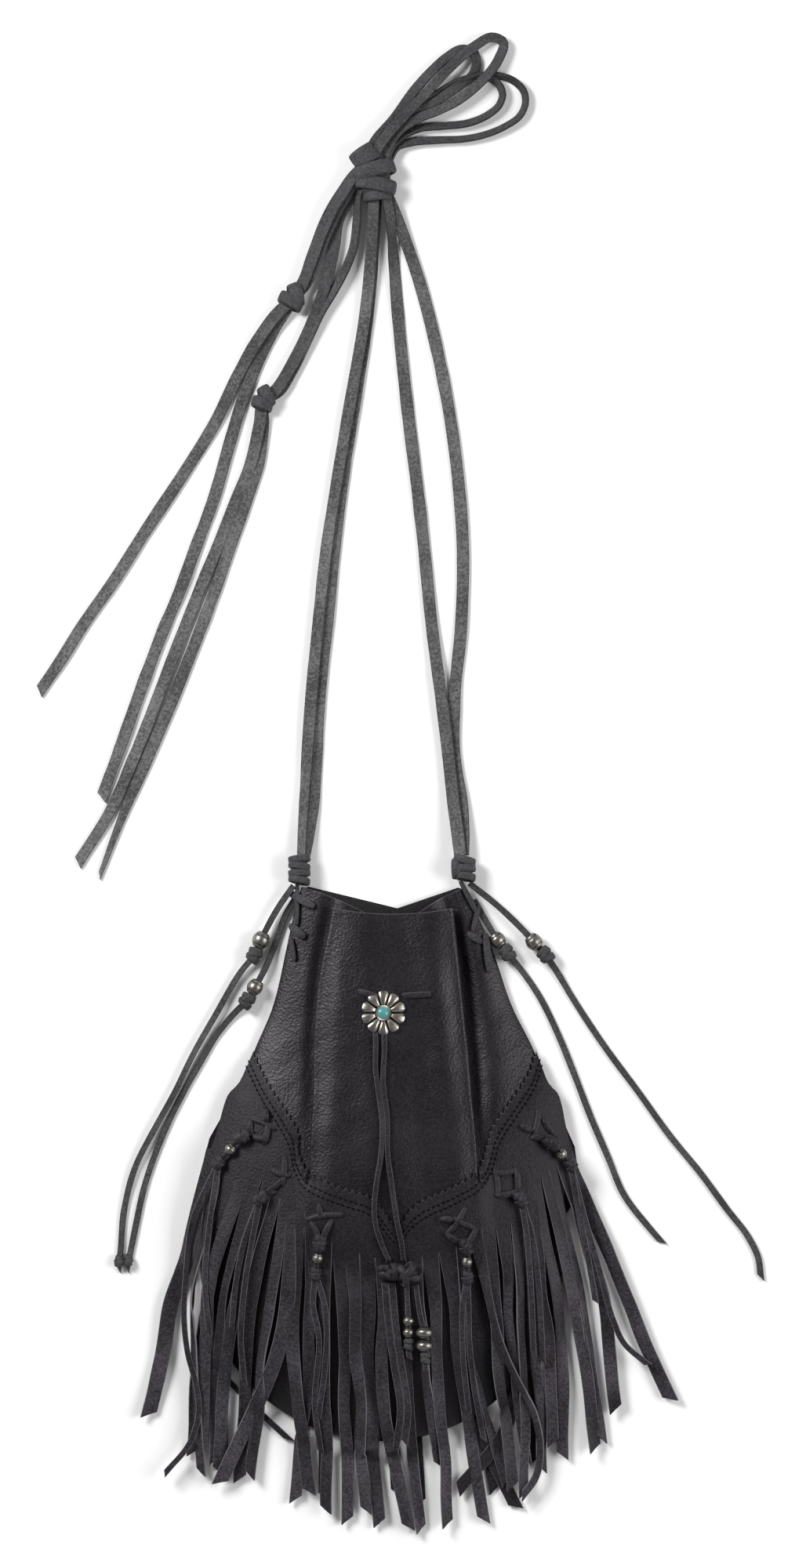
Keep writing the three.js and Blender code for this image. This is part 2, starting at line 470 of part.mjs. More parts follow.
// One half of a pleated section, from the seam to the middle panel; side is -1 on the left, 1 on the right.
function pleatedSide(y, side) {
  const [left, right] = edges(y);
  const seam = side < 0 ? left : right;
  const edge = at(PLEAT, side < 0 ? 'left' : 'right', y);
  const tuck = edge - side * at(PLEAT, 'tuck', y);
  const lift = at(PROFILE, 'lift', y);
  const roll = lift / 2 - PLEAT_TURN;
  const points = [];
  for (let i = 0; i <= SIDE_STEPS; i += 1) {
    const along = 1 - Math.cos((i / SIDE_STEPS) * Math.PI / 2);
    const x = lerp(seam, tuck, along);
    points.push({ x, z: dome(x, y, SEAM), rise: lerp(MOUTH.corner, MOUTH.pleat, along) });
  }
  const tuckHeight = dome(tuck, y, SEAM) + PLEAT_TURN;
  for (let i = 1; i <= TURN_STEPS; i += 1) {
    const angle = Math.PI * (i / TURN_STEPS - 0.5);
    const x = tuck - side * PLEAT_TURN * Math.cos(angle);
    points.push({ x, z: tuckHeight + PLEAT_TURN * Math.sin(angle), rise: MOUTH.pleat });
  }
  const rollX = edge - side * roll;
  const rollHeight = dome(rollX, y, SEAM) + lift - roll;
  for (let i = 0; i <= TURN_STEPS; i += 1) {
    const angle = Math.PI * (i / TURN_STEPS - 0.5);
    const x = rollX + side * roll * Math.cos(angle);
    points.push({ x, z: rollHeight + roll * Math.sin(angle), rise: MOUTH.pleat });
  }
  return points;
}

// The outer line of the front panel at y, from the left seam to the right one.
function section(y) {
  const leftSide = pleatedSide(y, -1);
  const rightSide = pleatedSide(y, 1).reverse();
  const from = leftSide[leftSide.length - 1].x;
  const to = rightSide[0].x;
  const middle = [];
  for (let i = 1; i < MIDDLE_STEPS; i += 1) {
    const x = lerp(from, to, i / MIDDLE_STEPS);
    const bow = 1 - (2 * i / MIDDLE_STEPS - 1) ** 2;
    const z = dome(x, y, SEAM) + at(PROFILE, 'lift', y) + bow * folds(x, y);
    middle.push({ x, z, rise: lerp(MOUTH.pleat, MOUTH.middle, bow) });
  }
  const pleated = [...leftSide, ...middle, ...rightSide];
  const [left, right] = edges(y);
  const folded = smooth(PLEAT_FADE.start, PLEAT_FADE.end, y);
  return pleated.map((point, j) => {
    const across = (1 - Math.cos(Math.PI * j / (pleated.length - 1))) / 2;
    const x = lerp(left, right, across);
    const flat = dome(x, y, SEAM) + folds(x, y) * Math.sin(Math.PI * across);
    return { x: lerp(x, point.x, folded), z: lerp(flat, point.z, folded), rise: point.rise };
  });
}

const sectionCache = new Map();

// Height of the front panel's outer face above a point of the floor.
function frontHeight(x, y) {
  const key = y.toFixed(1);
  if (!sectionCache.has(key)) {
    sectionCache.set(key, section(Number(key)));
  }
  const points = sectionCache.get(key);
  let height = 0;
  for (let j = 1; j < points.length; j += 1) {
    const a = points[j - 1];
    const b = points[j];
    if ((a.x - x) * (b.x - x) <= 0 && a.x !== b.x) {
      height = Math.max(height, lerp(a.z, b.z, (x - a.x) / (b.x - a.x)));
    }
  }
  return height;
}

// Height that the yoke, the strips and the laces lie on: the front panel and a skirt to the back fringe.
function cover(x, y) {
  const skirt = dome(x, y, BACK_REST, SKIRT, 0.8);
  return y > -112 && y < 150 ? Math.max(frontHeight(x, y), skirt) : skirt;
}

// A closed solid between two grids of points, the first above the second.
function sheetSolid(upper, lower) {
  const rows = upper.length;
  const columns = upper[0].length;
  const positions = [...upper.flat(), ...lower.flat()].flatMap((p) => p);
  const top = (i, j) => i * columns + j;
  const bottom = (i, j) => rows * columns + i * columns + j;
  const index = [];
  for (let i = 0; i + 1 < rows; i += 1) {
    for (let j = 0; j + 1 < columns; j += 1) {
      index.push(top(i, j), top(i + 1, j), top(i + 1, j + 1), top(i, j), top(i + 1, j + 1), top(i, j + 1));
      index.push(bottom(i, j), bottom(i + 1, j + 1), bottom(i + 1, j));
      index.push(bottom(i, j), bottom(i, j + 1), bottom(i + 1, j + 1));
    }
  }
  const rim = [];
  for (let i = 0; i + 1 < rows; i += 1) {
    rim.push([i, 0]);
  }
  for (let j = 0; j + 1 < columns; j += 1) {
    rim.push([rows - 1, j]);
  }
  for (let i = rows - 1; i > 0; i -= 1) {
    rim.push([i, columns - 1]);
  }
  for (let j = columns - 1; j > 0; j -= 1) {
    rim.push([0, j]);
  }
  rim.forEach((p, k) => {
    const q = rim[(k + 1) % rim.length];
    index.push(top(...p), bottom(...p), bottom(...q), top(...p), bottom(...q), top(...q));
  });
  const geometry = new THREE.BufferGeometry();
  geometry.setAttribute('position', new THREE.Float32BufferAttribute(positions, 3));
  geometry.setIndex(index);
  return geometry;
}

// Joins closed geometries into one body.
function fuse(geometries) {
  const bodies = geometries.map((geometry) => {
    const bare = geometry.clone();
    bare.deleteAttribute('normal');
    bare.deleteAttribute('uv');
    const merged = mergeVertices(bare, 1e-4);
    return new wasm.Manifold(new wasm.Mesh({
      numProp: 3,
      vertProperties: new Float32Array(merged.attributes.position.array),
      triVerts: new Uint32Array(merged.index.array),
    }));
  });
  const joined = bodies.reduce((sum, body) => sum.add(body)).getMesh();
  const geometry = new THREE.BufferGeometry();
  geometry.setAttribute('position', new THREE.Float32BufferAttribute(joined.vertProperties, 3));
  geometry.setIndex([...joined.triVerts]);
  return geometry;
}

// A curve whose frames keep a flat lace level.
class LevelCurve extends THREE.CatmullRomCurve3 {
  computeFrenetFrames(segments) {
    const frames = { tangents: [], normals: [], binormals: [] };
    for (let i = 0; i <= segments; i += 1) {
      const tangent = this.getTangentAt(i / segments);
      const binormal = new THREE.Vector3(0, 0, 1).cross(tangent).normalize();
      frames.tangents.push(tangent);
      frames.binormals.push(binormal);
      frames.normals.push(binormal.clone().cross(tangent));
    }
    return frames;
  }
}

// A flat lace along a route of x, y, z rows.
function lace(route, { width, thick, bevel }, steps) {
  const corners = [[1, 1], [-1, 1], [-1, -1], [1, -1]];
  const outline = corners.flatMap(([sx, sy], k) => {
    const x = sx * thick / 2;
    const y = sy * width / 2;
    const cut = [[x, y - sy * bevel], [x - sx * bevel, y]];
    return bevel > 0 ? (k % 2 ? cut.reverse() : cut) : [[x, y]];
  });
  const shape = new THREE.Shape(outline.map(([x, y]) => new THREE.Vector2(x, y)));
  const extrudePath = new LevelCurve(route.map((point) => new THREE.Vector3(...point)));
  return new THREE.ExtrudeGeometry(shape, { steps, bevelEnabled: false, extrudePath });
}

// A route of x, y and clearance rows laid on the bag's front.
const laidOn = (route) => route.map(([x, y, above]) => [x, y, cover(x, y) + above]);

// A knot: a barrel with wrapped ridges, its axis turned to an angle in the plan.
function knot({ x, y, z, radius, length, height = 2 * radius, angle = 90 }, wraps = 1, sides = 8) {
  const profile = [new THREE.Vector2(0, -length / 2)];
  const points = wraps * 2 + 1;
  for (let i = 0; i < points; i += 1) {
    const along = i / (points - 1) - 0.5;
    const barrel = Math.sqrt(1 - (1.7 * along) ** 2);
    const ridge = i % 2 === 1 ? 1 : 0.86;
    profile.push(new THREE.Vector2(radius * Math.max(barrel, 0.62) * ridge, along * length));
  }
  profile.push(new THREE.Vector2(0, length / 2));
  const geometry = new THREE.LatheGeometry(profile, sides);
  geometry.scale(1, 1, height / (2 * radius));
  geometry.rotateZ(THREE.MathUtils.degToRad(angle - 90));
  return geometry.translate(x, y, z);
}

// A drilled bead, its bore turned to an angle in the plan and tilted out of it.
function bead({ x, y, z, radius, length, bore, angle = 90, tilt = 0 }) {
  const profile = [];
  const start = Math.asin(bore / radius);
  for (let i = 0; i <= BEAD_STEPS; i += 1) {
    const turn = lerp(start, Math.PI - start, i / BEAD_STEPS);
    const height = -(length / 2) * Math.cos(turn) / Math.cos(start);
    profile.push(new THREE.Vector2(radius * Math.sin(turn), height));
  }
  profile.push(profile[0].clone());
  const geometry = new THREE.LatheGeometry(profile, 10);
  geometry.rotateX(THREE.MathUtils.degToRad(tilt));
  geometry.rotateZ(THREE.MathUtils.degToRad(angle - 90));
  return geometry.translate(x, y, z);
}

const bearing = ([x0, y0], [x1, y1]) => THREE.MathUtils.radToDeg(Math.atan2(y1 - y0, x1 - x0));

function bagFront() {
  const upper = [];
  const lower = [];
  FRONT_ROWS.forEach((y) => {
    const points = section(y);
    const fade = smooth(MOUTH.y - MOUTH.fade, MOUTH.y, y);
    const folded = smooth(PLEAT_FADE.start, PLEAT_FADE.end, y);
    const [left, right] = edges(y);
    const inner = points.map((point, j) => {
      const before = points[Math.max(j - 1, 0)];
      const after = points[Math.min(j + 1, points.length - 1)];
      const run = Math.hypot(after.x - before.x, after.z - before.z);
      const across = (2 * point.x - left - right) / (right - left);
      const inwardX = lerp(-across, (after.z - before.z) / run, folded);
      const inwardZ = lerp(-Math.sqrt(Math.max(1 - across ** 2, 0)), -(after.x - before.x) / run, folded);
      const z = Math.max(point.z + WALL * inwardZ, SEAM);
      return [point.x + WALL * inwardX, y + point.rise * fade, z];
    });
    upper.push(points.map((point) => [point.x, y + point.rise * fade, point.z]));
    lower.push(inner);
  });
  return sheetSolid(upper, lower);
}

function bagBack() {
  const outline = [];
  const sideRows = OUTLINE.map((row) => row.y).filter((y) => y < BACK_NOTCH[0][1]);
  sideRows.forEach((y) => outline.push([edges(y)[0], y]));
  for (let i = 1; i < 16; i += 1) {
    const angle = Math.PI * (1 + i / 16);
    outline.push([BASE.x + BASE.radius * Math.cos(angle), BASE.y + BASE.radius * Math.sin(angle)]);
  }
  [...sideRows].reverse().forEach((y) => outline.push([edges(y)[1], y]));
  [...BACK_NOTCH].reverse().forEach((point) => outline.push(point));
  const shape = new THREE.Shape(outline.map(([x, y]) => new THREE.Vector2(x, y)));
  return new THREE.ExtrudeGeometry(shape, { depth: WALL, bevelEnabled: false }).translate(0, 0, BACK_REST);
}

// A strip of fringe from above its root to its slanted tip; height gives its underside at x, y and t.
function strip(row, steps, height, slant) {
  const root = new THREE.Vector3(row.rootX, row.rootY, 0);
  const knee = new THREE.Vector3(row.kneeX, row.kneeY, 0);
  const tip = new THREE.Vector3(row.tipX, row.tipY, 0);
  const start = root.clone().addScaledVector(root.clone().sub(knee).normalize(), ROOT_OVERLAP);
  const path = new THREE.CatmullRomCurve3([start, root, knee, tip]);
  const upper = [];
  const lower = [];
  for (let i = 0; i <= steps; i += 1) {
    const t = i / steps;
    const point = path.getPointAt(t);
    const tangent = path.getTangentAt(t);
    const across = new THREE.Vector3(-tangent.y, tangent.x, 0).multiplyScalar(row.width / 2);
    const cut = i === steps ? slant : 0;
    const left = point.clone().sub(across).addScaledVector(tangent, cut);
    const right = point.clone().add(across).addScaledVector(tangent, -cut);
    const thinned = i === 0 ? ROOT_THINNING : 0;
    const under = height(point.x, point.y, t) + thinned;
    upper.push([left, right].map((p) => [p.x, p.y, under + FRINGE_WALL - 2 * thinned]));
    lower.push([left, right].map((p) => [p.x, p.y, under]));
  }
  return sheetSolid(upper, lower);
}

function fringeFront() {
  const grid = [];
  for (let i = 0; i <= YOKE_ROWS; i += 1) {
    const t = i / YOKE_ROWS;
    grid.push(YOKE.map((row) => {
      const x = lerp(row.edgeX, row.cutX, t);
      const y = lerp(row.edgeY, row.cutY, t);
      return [x, y, cover(x, y) + YOKE_LIFT];
    }));
  }
  const yoke = sheetSolid(grid.map((row) => row.map(([x, y, z]) => [x, y, z + FRINGE_WALL])), grid);
  const strips = STRIPS.map((row, k) => {
    const layered = (t) => row.layer * LAYER_STEP * smooth(0.04, 0.3, t);
    const height = (x, y, t) => cover(x, y) + YOKE_LIFT + layered(t);
    return strip(row, FRONT_STRIP_STEPS, height, k % 2 ? STRIP_SLANT : -STRIP_SLANT);
  });
  return fuse([yoke, ...strips]);
}

function fringeBack() {
  const shape = new THREE.Shape(BACK_YOKE.map(([x, y]) => new THREE.Vector2(x, y)));
  const yoke = new THREE.ExtrudeGeometry(shape, { depth: FRINGE_WALL, bevelEnabled: false });
  const slant = (k) => (k % 2 ? STRIP_SLANT : -STRIP_SLANT);
  const strips = BACK_STRIPS.map((row, k) => strip(row, BACK_STRIP_STEPS, () => 0, slant(k)));
  return fuse([yoke, ...strips]);
}

// The height at which a disc clears the front and the drawstring laces that pass under it.
function seatUnder({ x, y, radius }) {
  let height = cover(x, y);
  for (let i = 0; i < 12; i += 1) {
    const angle = (i / 12) * 2 * Math.PI;
    height = Math.max(height, cover(x + radius * Math.cos(angle), y + radius * Math.sin(angle)));
  }
  const laces = [...DRAWSTRING_BAR, DRAWSTRING_LEFT[0], DRAWSTRING_RIGHT[0]];
  laces.filter(([lx, ly]) => Math.hypot(lx - x, ly - y) < radius).forEach(([lx, ly, above]) => {
    height = Math.max(height, cover(lx, ly) + above + DRAWN_LACE.thick / 2);
  });
  return height + GAP;
}

function concho() {
  const sides = CONCHO.petals * 2;
  const positions = [[0, 0, CONCHO_RINGS[0].z]];
  const index = [];
  const ring = (radius, z, petal) => {
    for (let k = 0; k < sides; k += 1) {
      const angle = (k / sides) * 2 * Math.PI;
      const lobe = Math.cos(angle * CONCHO.petals / 2) ** 2;
      const reach = radius * (1 - 0.08 * (1 - lobe) * petal);
      positions.push([reach * Math.cos(angle), reach * Math.sin(angle), z + petal * (lobe - 0.3)]);
    }
  };
  CONCHO_RINGS.forEach(({ r, z, petal }) => ring(r, z, petal));
  ring(CONCHO.radius - 0.3, 0, 0);
  positions.push([0, 0, 0]);
  const rings = CONCHO_RINGS.length + 1;
  const vertex = (band, k) => 1 + band * sides + (k % sides);
  for (let k = 0; k < sides; k += 1) {
    index.push(0, vertex(0, k), vertex(0, k + 1));
    for (let band = 0; band + 1 < rings; band += 1) {
      index.push(vertex(band, k), vertex(band + 1, k), vertex(band + 1, k + 1));
      index.push(vertex(band, k), vertex(band + 1, k + 1), vertex(band, k + 1));
    }
    index.push(positions.length - 1, vertex(rings - 1, k + 1), vertex(rings - 1, k));
  }
  const geometry = new THREE.BufferGeometry();
  geometry.setAttribute('position', new THREE.Float32BufferAttribute(positions.flat(), 3));
  geometry.setIndex(index);
  return geometry;
}

function stone() {
  const profile = [new THREE.Vector2(0, 0)];
  for (let i = 0; i < 3; i += 1) {
    const angle = (i / 3) * Math.PI / 2;
    const height = STONE.rim + (STONE.height - STONE.rim) * Math.sin(angle);
    profile.push(new THREE.Vector2(STONE.radius * Math.cos(angle), height));
  }
  profile.splice(1, 0, new THREE.Vector2(STONE.radius, 0));
  profile.push(new THREE.Vector2(0, STONE.height));
  return new THREE.LatheGeometry(profile, 12).rotateX(Math.PI / 2);
}

const tieHeight = ([x, y], lift) => [x, y, cover(x, y) + TIE_HEIGHT + lift];

function tie({ lift, cross, knot: tied, stop, tails }) {
  const [x, y] = cross;
  const arm = TIE_CROSS / 2 * Math.SQRT1_2;
  const bars = [[-arm, arm], [arm, arm]].map(([dx, dy]) => lace(laidOn([
    [x - dx, y - dy, ON_YOKE], [x, y, ON_YOKE], [x + dx, y + dy, ON_YOKE],
  ]), TIE_LACE, 1));
  const lump = (point, angle) => {
    const [kx, ky, kz] = tieHeight(point, lift);
    return knot({ x: kx, y: ky, z: kz, ...TIE_KNOT, angle }, 1, 6);
  };
  const last = stop || tied;
  const stem = [[x, y, cover(x, y) + ON_YOKE], tieHeight(tied, lift)];
  const pieces = [...bars, lump(tied, bearing(cross, tied))];
  if (stop) {
    const end = tieHeight(stop, lift);
    stem.push(end.map((value, axis) => (value + stem[1][axis]) / 2), end);
    pieces.push(lump(stop, bearing(tied, stop)));
  }
  pieces.push(lace(stem, BEAD_LACE, 5));
  tails.forEach((end) => {
    const half = [lerp(last[0], end[0], 0.5), lerp(last[1], end[1], 0.5)];
    const route = [tieHeight(last, lift), ...laidOn([[...half, TIE_TAIL + lift], [...end, TIE_TAIL + lift]])];
    pieces.push(lace(route, TIE_LACE, 3));
  });
  return fuse(pieces);
}

function tieBead({ lift, knot: tied, stop }) {
  const from = new THREE.Vector3(...tieHeight(tied, lift));
  const to = new THREE.Vector3(...tieHeight(stop, lift));
  const { x, y, z } = from.clone().lerp(to, 0.5);
  const run = Math.hypot(to.x - from.x, to.y - from.y);
  const tilt = THREE.MathUtils.radToDeg(Math.atan2(to.z - from.z, run));
  return bead({ x, y, z, ...TIE_BEAD, angle: bearing(tied, stop), tilt });
}

const bag = new THREE.Group();

function addPiece(name, geometry, finish, parent = bag) {
  const piece = new THREE.Mesh(geometry, new THREE.MeshStandardMaterial({ name: finish, ...FINISH[finish] }));
  piece.name = name;
  parent.add(piece);
  return piece;
}

addPiece('bag_front', bagFront(), 'leather');
addPiece('bag_back', bagBack(), 'leather');
addPiece('fringe_front', fringeFront(), 'fringe');
addPiece('fringe_back', fringeBack(), 'fringe');

const conchoGroup = new THREE.Group();
conchoGroup.position.set(CONCHO.x, CONCHO.y, seatUnder(CONCHO));
addPiece('concho', concho(), 'silver', conchoGroup);
addPiece('concho_stone', stone(), 'turquoise', conchoGroup).position.z = CONCHO_RINGS[0].z + GAP / 2;
bag.add(conchoGroup);

addPiece('drawstring_bar', lace(laidOn(DRAWSTRING_BAR), DRAWN_LACE, 5), 'lace');
addPiece('drawstring_left', lace(laidOn(DRAWSTRING_LEFT), DRAWN_LACE, 10), 'lace');
addPiece('drawstring_right', lace(laidOn(DRAWSTRING_RIGHT), DRAWN_LACE, 10), 'lace');
const knotSeat = cover(DRAWSTRING_KNOT.x, DRAWSTRING_KNOT.y) + YOKE_TOP;
const centreKnot = { ...DRAWSTRING_KNOT, z: knotSeat + DRAWSTRING_KNOT.height / 2, angle: 0 };
addPiece('drawstring_knot', knot(centreKnot, 2, 10), 'lace');
const plainTails = PLAIN_TAILS.map((route) => route.map(([x, y]) => [x, y, ON_FRINGE]));
const plainTailLaces = plainTails.map((route) => lace(laidOn(route), DRAWN_LACE, 6));
addPiece('drawstring_tail_plain', fuse(plainTailLaces), 'lace');
BEAD_TAILS.forEach(({ name, route, knot: [kx, ky], beads, radius, x }, pair) => {
  const level = (px, py) => cover(px, py) + YOKE_TOP + GAP + radius;
  const threaded = [...route, [kx, ky]].map(([px, py]) => [px, py, level(px, py)]);
  const end = knot({ x: kx, y: ky, z: level(kx, ky), radius: 2.6, length: 5 });
  addPiece(`drawstring_tail_${name}`, fuse([lace(threaded, BEAD_LACE, 6), end]), 'lace');
  beads.forEach((y, k) => {
    const drilled = bead({ x, y, z: level(x, y), radius, length: radius + 1.5, bore: 1.9 });
    addPiece(`drawstring_bead_${2 * pair + k + 1}`, drilled, 'pewter');
  });
});

TIES.forEach((row) => {
  addPiece(`tie_${row.name}`, tie(row), 'lace');
  if (row.stop) {
    addPiece(`tie_bead_${row.name}`, tieBead(row), 'pewter');
  }
});

Object.entries(SIDE_KNOTS).forEach(([side, size]) => {
  addPiece(`side_knot_${side}`, knot(size, 2, 10), 'lace');
  const route = EDGE_LACING[side].map(([x, y]) => [x, y, ON_FRONT]);
  addPiece(`edge_lacing_${side}`, lace(laidOn(route), DRAWN_LACE, 6), 'lace');
});

Object.entries(DANGLES).forEach(([side, { route, bead: pierced, knot: tied }]) => {
  const angle = bearing([tied.x, tied.y], [pierced.x, pierced.y]);
  const stopper = knot({ ...tied, ...DANGLE_KNOT, height: 7.4, angle });
  addPiece(`dangle_${side}`, fuse([lace(route, DANGLE_LACE, DANGLE_STEPS), stopper]), 'lace');
  const drilled = bead({ ...pierced, length: pierced.radius * 1.7, bore: DANGLE_BORE, angle });
  addPiece(`dangle_bead_${side}`, drilled, 'pewter');
});

Object.entries(STRAPS).forEach(([side, route]) => {
  addPiece(`strap_${side}`, lace(route, STRAP_LACE, STRAP_STEPS), 'lace');
});
addPiece('strap_knot', knot(STRAP_KNOT, 2, 10), 'lace');
addPiece('strap_loops', fuse(LOOPS.map((route) => lace(route, LOOP_LACE, LOOP_STEPS))), 'lace');
Object.entries(TAILS).forEach(([side, { routes, knot: tied }]) => {
  const laces = routes.map((route) => lace(route, STRAP_LACE, TAIL_STEPS));
  addPiece(`strap_tail_${side}`, fuse([...laces, knot(tied)]), 'lace');
});

export default bag;
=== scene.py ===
"""Dresses the fringe bag: pleated pouch, pinked yoke, fringe, laces, knots, beads and disc."""

import json
import logging
import math
from collections.abc import Sequence
from dataclasses import dataclass, field, replace
from enum import Enum
from functools import lru_cache

import bpy
import numpy as np
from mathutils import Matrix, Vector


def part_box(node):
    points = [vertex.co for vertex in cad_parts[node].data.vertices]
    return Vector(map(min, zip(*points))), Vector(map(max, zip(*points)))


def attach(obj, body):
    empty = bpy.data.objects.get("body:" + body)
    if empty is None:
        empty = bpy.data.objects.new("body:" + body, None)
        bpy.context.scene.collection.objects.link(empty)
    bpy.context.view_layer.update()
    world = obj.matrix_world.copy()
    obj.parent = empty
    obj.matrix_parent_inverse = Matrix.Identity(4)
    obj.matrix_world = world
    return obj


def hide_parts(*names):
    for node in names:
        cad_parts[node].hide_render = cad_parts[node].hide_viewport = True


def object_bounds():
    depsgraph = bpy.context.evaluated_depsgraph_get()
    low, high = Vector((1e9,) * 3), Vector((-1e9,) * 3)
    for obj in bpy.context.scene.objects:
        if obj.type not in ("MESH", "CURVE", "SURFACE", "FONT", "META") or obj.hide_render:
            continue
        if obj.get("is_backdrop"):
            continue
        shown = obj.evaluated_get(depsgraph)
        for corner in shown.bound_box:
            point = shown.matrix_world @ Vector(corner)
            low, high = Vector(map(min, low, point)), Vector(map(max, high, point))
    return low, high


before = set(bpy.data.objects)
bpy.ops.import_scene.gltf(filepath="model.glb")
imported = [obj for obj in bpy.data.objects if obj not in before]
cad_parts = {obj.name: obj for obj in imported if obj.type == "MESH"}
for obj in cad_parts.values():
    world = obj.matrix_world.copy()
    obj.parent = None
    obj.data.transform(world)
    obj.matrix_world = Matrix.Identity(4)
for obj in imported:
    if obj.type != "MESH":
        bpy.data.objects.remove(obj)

LOG = logging.getLogger("fringe_bag")
CAD_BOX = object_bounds()
MM = 0.001
UP = np.array([0.0, 0.0, 1.0])
Row = tuple[float, ...]
Route = tuple[Row, ...]
Span = tuple[float, float]
Array = np.ndarray
Piece = bpy.types.Object
Values = Array | float


class Slot(Enum):
    """Names of the record's material slots."""

    BAG = "bag_leather"
    FRINGE = "fringe_leather"
    LACE = "lace_leather"
    PEWTER = "pewter"
    SILVER = "silver"
    TURQUOISE = "turquoise"


class Wrapping(Enum):
    """How the laces of a knot lie over one another."""

    STACKED = "stacked"
    CROSSED = "crossed"


class End(Enum):
    """What the far end of a lace is."""

    BARE = "bare"
    KNOT = "knot"


# Shapes that several sub-assemblies share


def ramp(low: float, high: float, value: Values) -> Values:
    """Rises evenly from 0 at low to 1 at high."""
    return np.clip((value - low) / (high - low), 0.0, 1.0)


def smoothstep(low: float, high: float, value: Values) -> Values:
    """Rises from 0 at low to 1 at high without corners."""
    part = ramp(low, high, value)
    return part * part * (3.0 - 2.0 * part)


def unit_rows(vectors: Array) -> Array:
    """The vectors with a length of 1."""
    return vectors / np.linalg.norm(vectors, axis=1)[:, None]


def distances(points: Array) -> Array:
    """Distance along a line of points, from its start to each of them."""
    return np.concatenate([[0.0], np.cumsum(np.linalg.norm(np.diff(points, axis=0), axis=1))])


def full_turn(count: int) -> Array:
    """Even angles round a circle."""
    return np.linspace(0.0, 2.0 * math.pi, count, endpoint=False)


def plan_axes(angle: float) -> tuple[Array, Array]:
    """Unit vectors along a direction of the plan, given in degrees, and across it."""
    head = math.radians(angle)
    return np.array([math.cos(head), math.sin(head), 0.0]), np.array([-math.sin(head), math.cos(head), 0.0])


def read_table(rows: Sequence[Row], column: int, y: float) -> float:
    """Reads a table column at a height by a smooth curve through its rows.

    Args:
        rows: Rows that start with y and run downwards.
        column: Column to read.
        y: Height to read it at.

    Returns:
        The value there, and the end row's value past either end.
    """
    last = len(rows) - 1
    if y >= rows[0][0]:
        return rows[0][column]
    if y <= rows[last][0]:
        return rows[last][column]
    i = next(k for k in range(last) if rows[k + 1][0] < y <= rows[k][0])

    def slope(k: int) -> float:
        """Slope of the column at row k."""
        above, below = rows[max(k - 1, 0)], rows[min(k + 1, last)]
        return (below[column] - above[column]) / (below[0] - above[0])

    span = rows[i + 1][0] - rows[i][0]
    t = (y - rows[i][0]) / span
    start = rows[i][column] * (1 + 2 * t) * (1 - t) ** 2 + slope(i) * span * t * (1 - t) ** 2
    end = rows[i + 1][column] * t * t * (3 - 2 * t) + slope(i + 1) * span * t * t * (t - 1)
    return start + end


def curve_through(points: Sequence[Row], spacing: float) -> Array:
    """Even points along a smooth curve.

    Args:
        points: Points that the curve passes through.
        spacing: Distance between the points returned, in millimetres.

    Returns:
        An array with one row for each point.
    """
    oversampling, least_fine, least_steps = 4, 16, 4
    knots = np.asarray(points, float)
    chord = distances(knots)
    if len(knots) > 2:
        slopes = np.gradient(knots, chord, axis=0)
    else:
        slopes = np.repeat(np.diff(knots, axis=0) / chord[-1], 2, 0)
    fine = np.linspace(0.0, chord[-1], max(int(chord[-1] / spacing) * oversampling, least_fine))
    i = np.clip(np.searchsorted(chord, fine, side="right") - 1, 0, len(chord) - 2)
    span = (chord[i + 1] - chord[i])[:, None]
    t = (fine - chord[i])[:, None] / span
    dense = (
        knots[i] * (1 + 2 * t) * (1 - t) ** 2
        + slopes[i] * span * t * (1 - t) ** 2
        + knots[i + 1] * t * t * (3 - 2 * t)
        + slopes[i + 1] * span * t * t * (t - 1)
    )
    length = distances(dense)
    even = np.linspace(0.0, length[-1], max(int(length[-1] / spacing), least_steps) + 1)
    return np.stack([np.interp(even, length, dense[:, k]) for k in range(dense.shape[1])], axis=1)


def wander(count: int, waves: int, seed: int) -> Array:
    """A soft random line between about -1 and 1.

    Args:
        count: Number of values.
        waves: Number of bends along the line.
        seed: Seed of the random numbers.

    Returns:
        The values.
    """
    marks = np.random.default_rng(seed).uniform(-1.0, 1.0, waves + 3)
    place = np.linspace(0.0, waves + 1.0, count)
    i = place.astype(int)
    blend = smoothstep(0.0, 1.0, place - i)
    return marks[i] * (1.0 - blend) + marks[i + 1] * blend


def polyline_length(path: Array) -> float:
    """Length of a line of points."""
    return float(np.linalg.norm(np.diff(path, axis=0), axis=1).sum())


def add_piece(name: str, mesh: bpy.types.Mesh, slot: Slot) -> Piece:
    """Puts a mesh into the scene as a piece that rides with the bag.

    Args:
        name: Name of the piece.
        mesh: Its mesh.
        slot: Not used.

    Returns:
        The piece.
    """
    piece = bpy.data.objects.new(name, mesh)
    bpy.context.scene.collection.objects.link(piece)
    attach(piece, "root")
    slot.value
    LOG.info("%s: %d faces", name, len(mesh.polygons))
    return piece


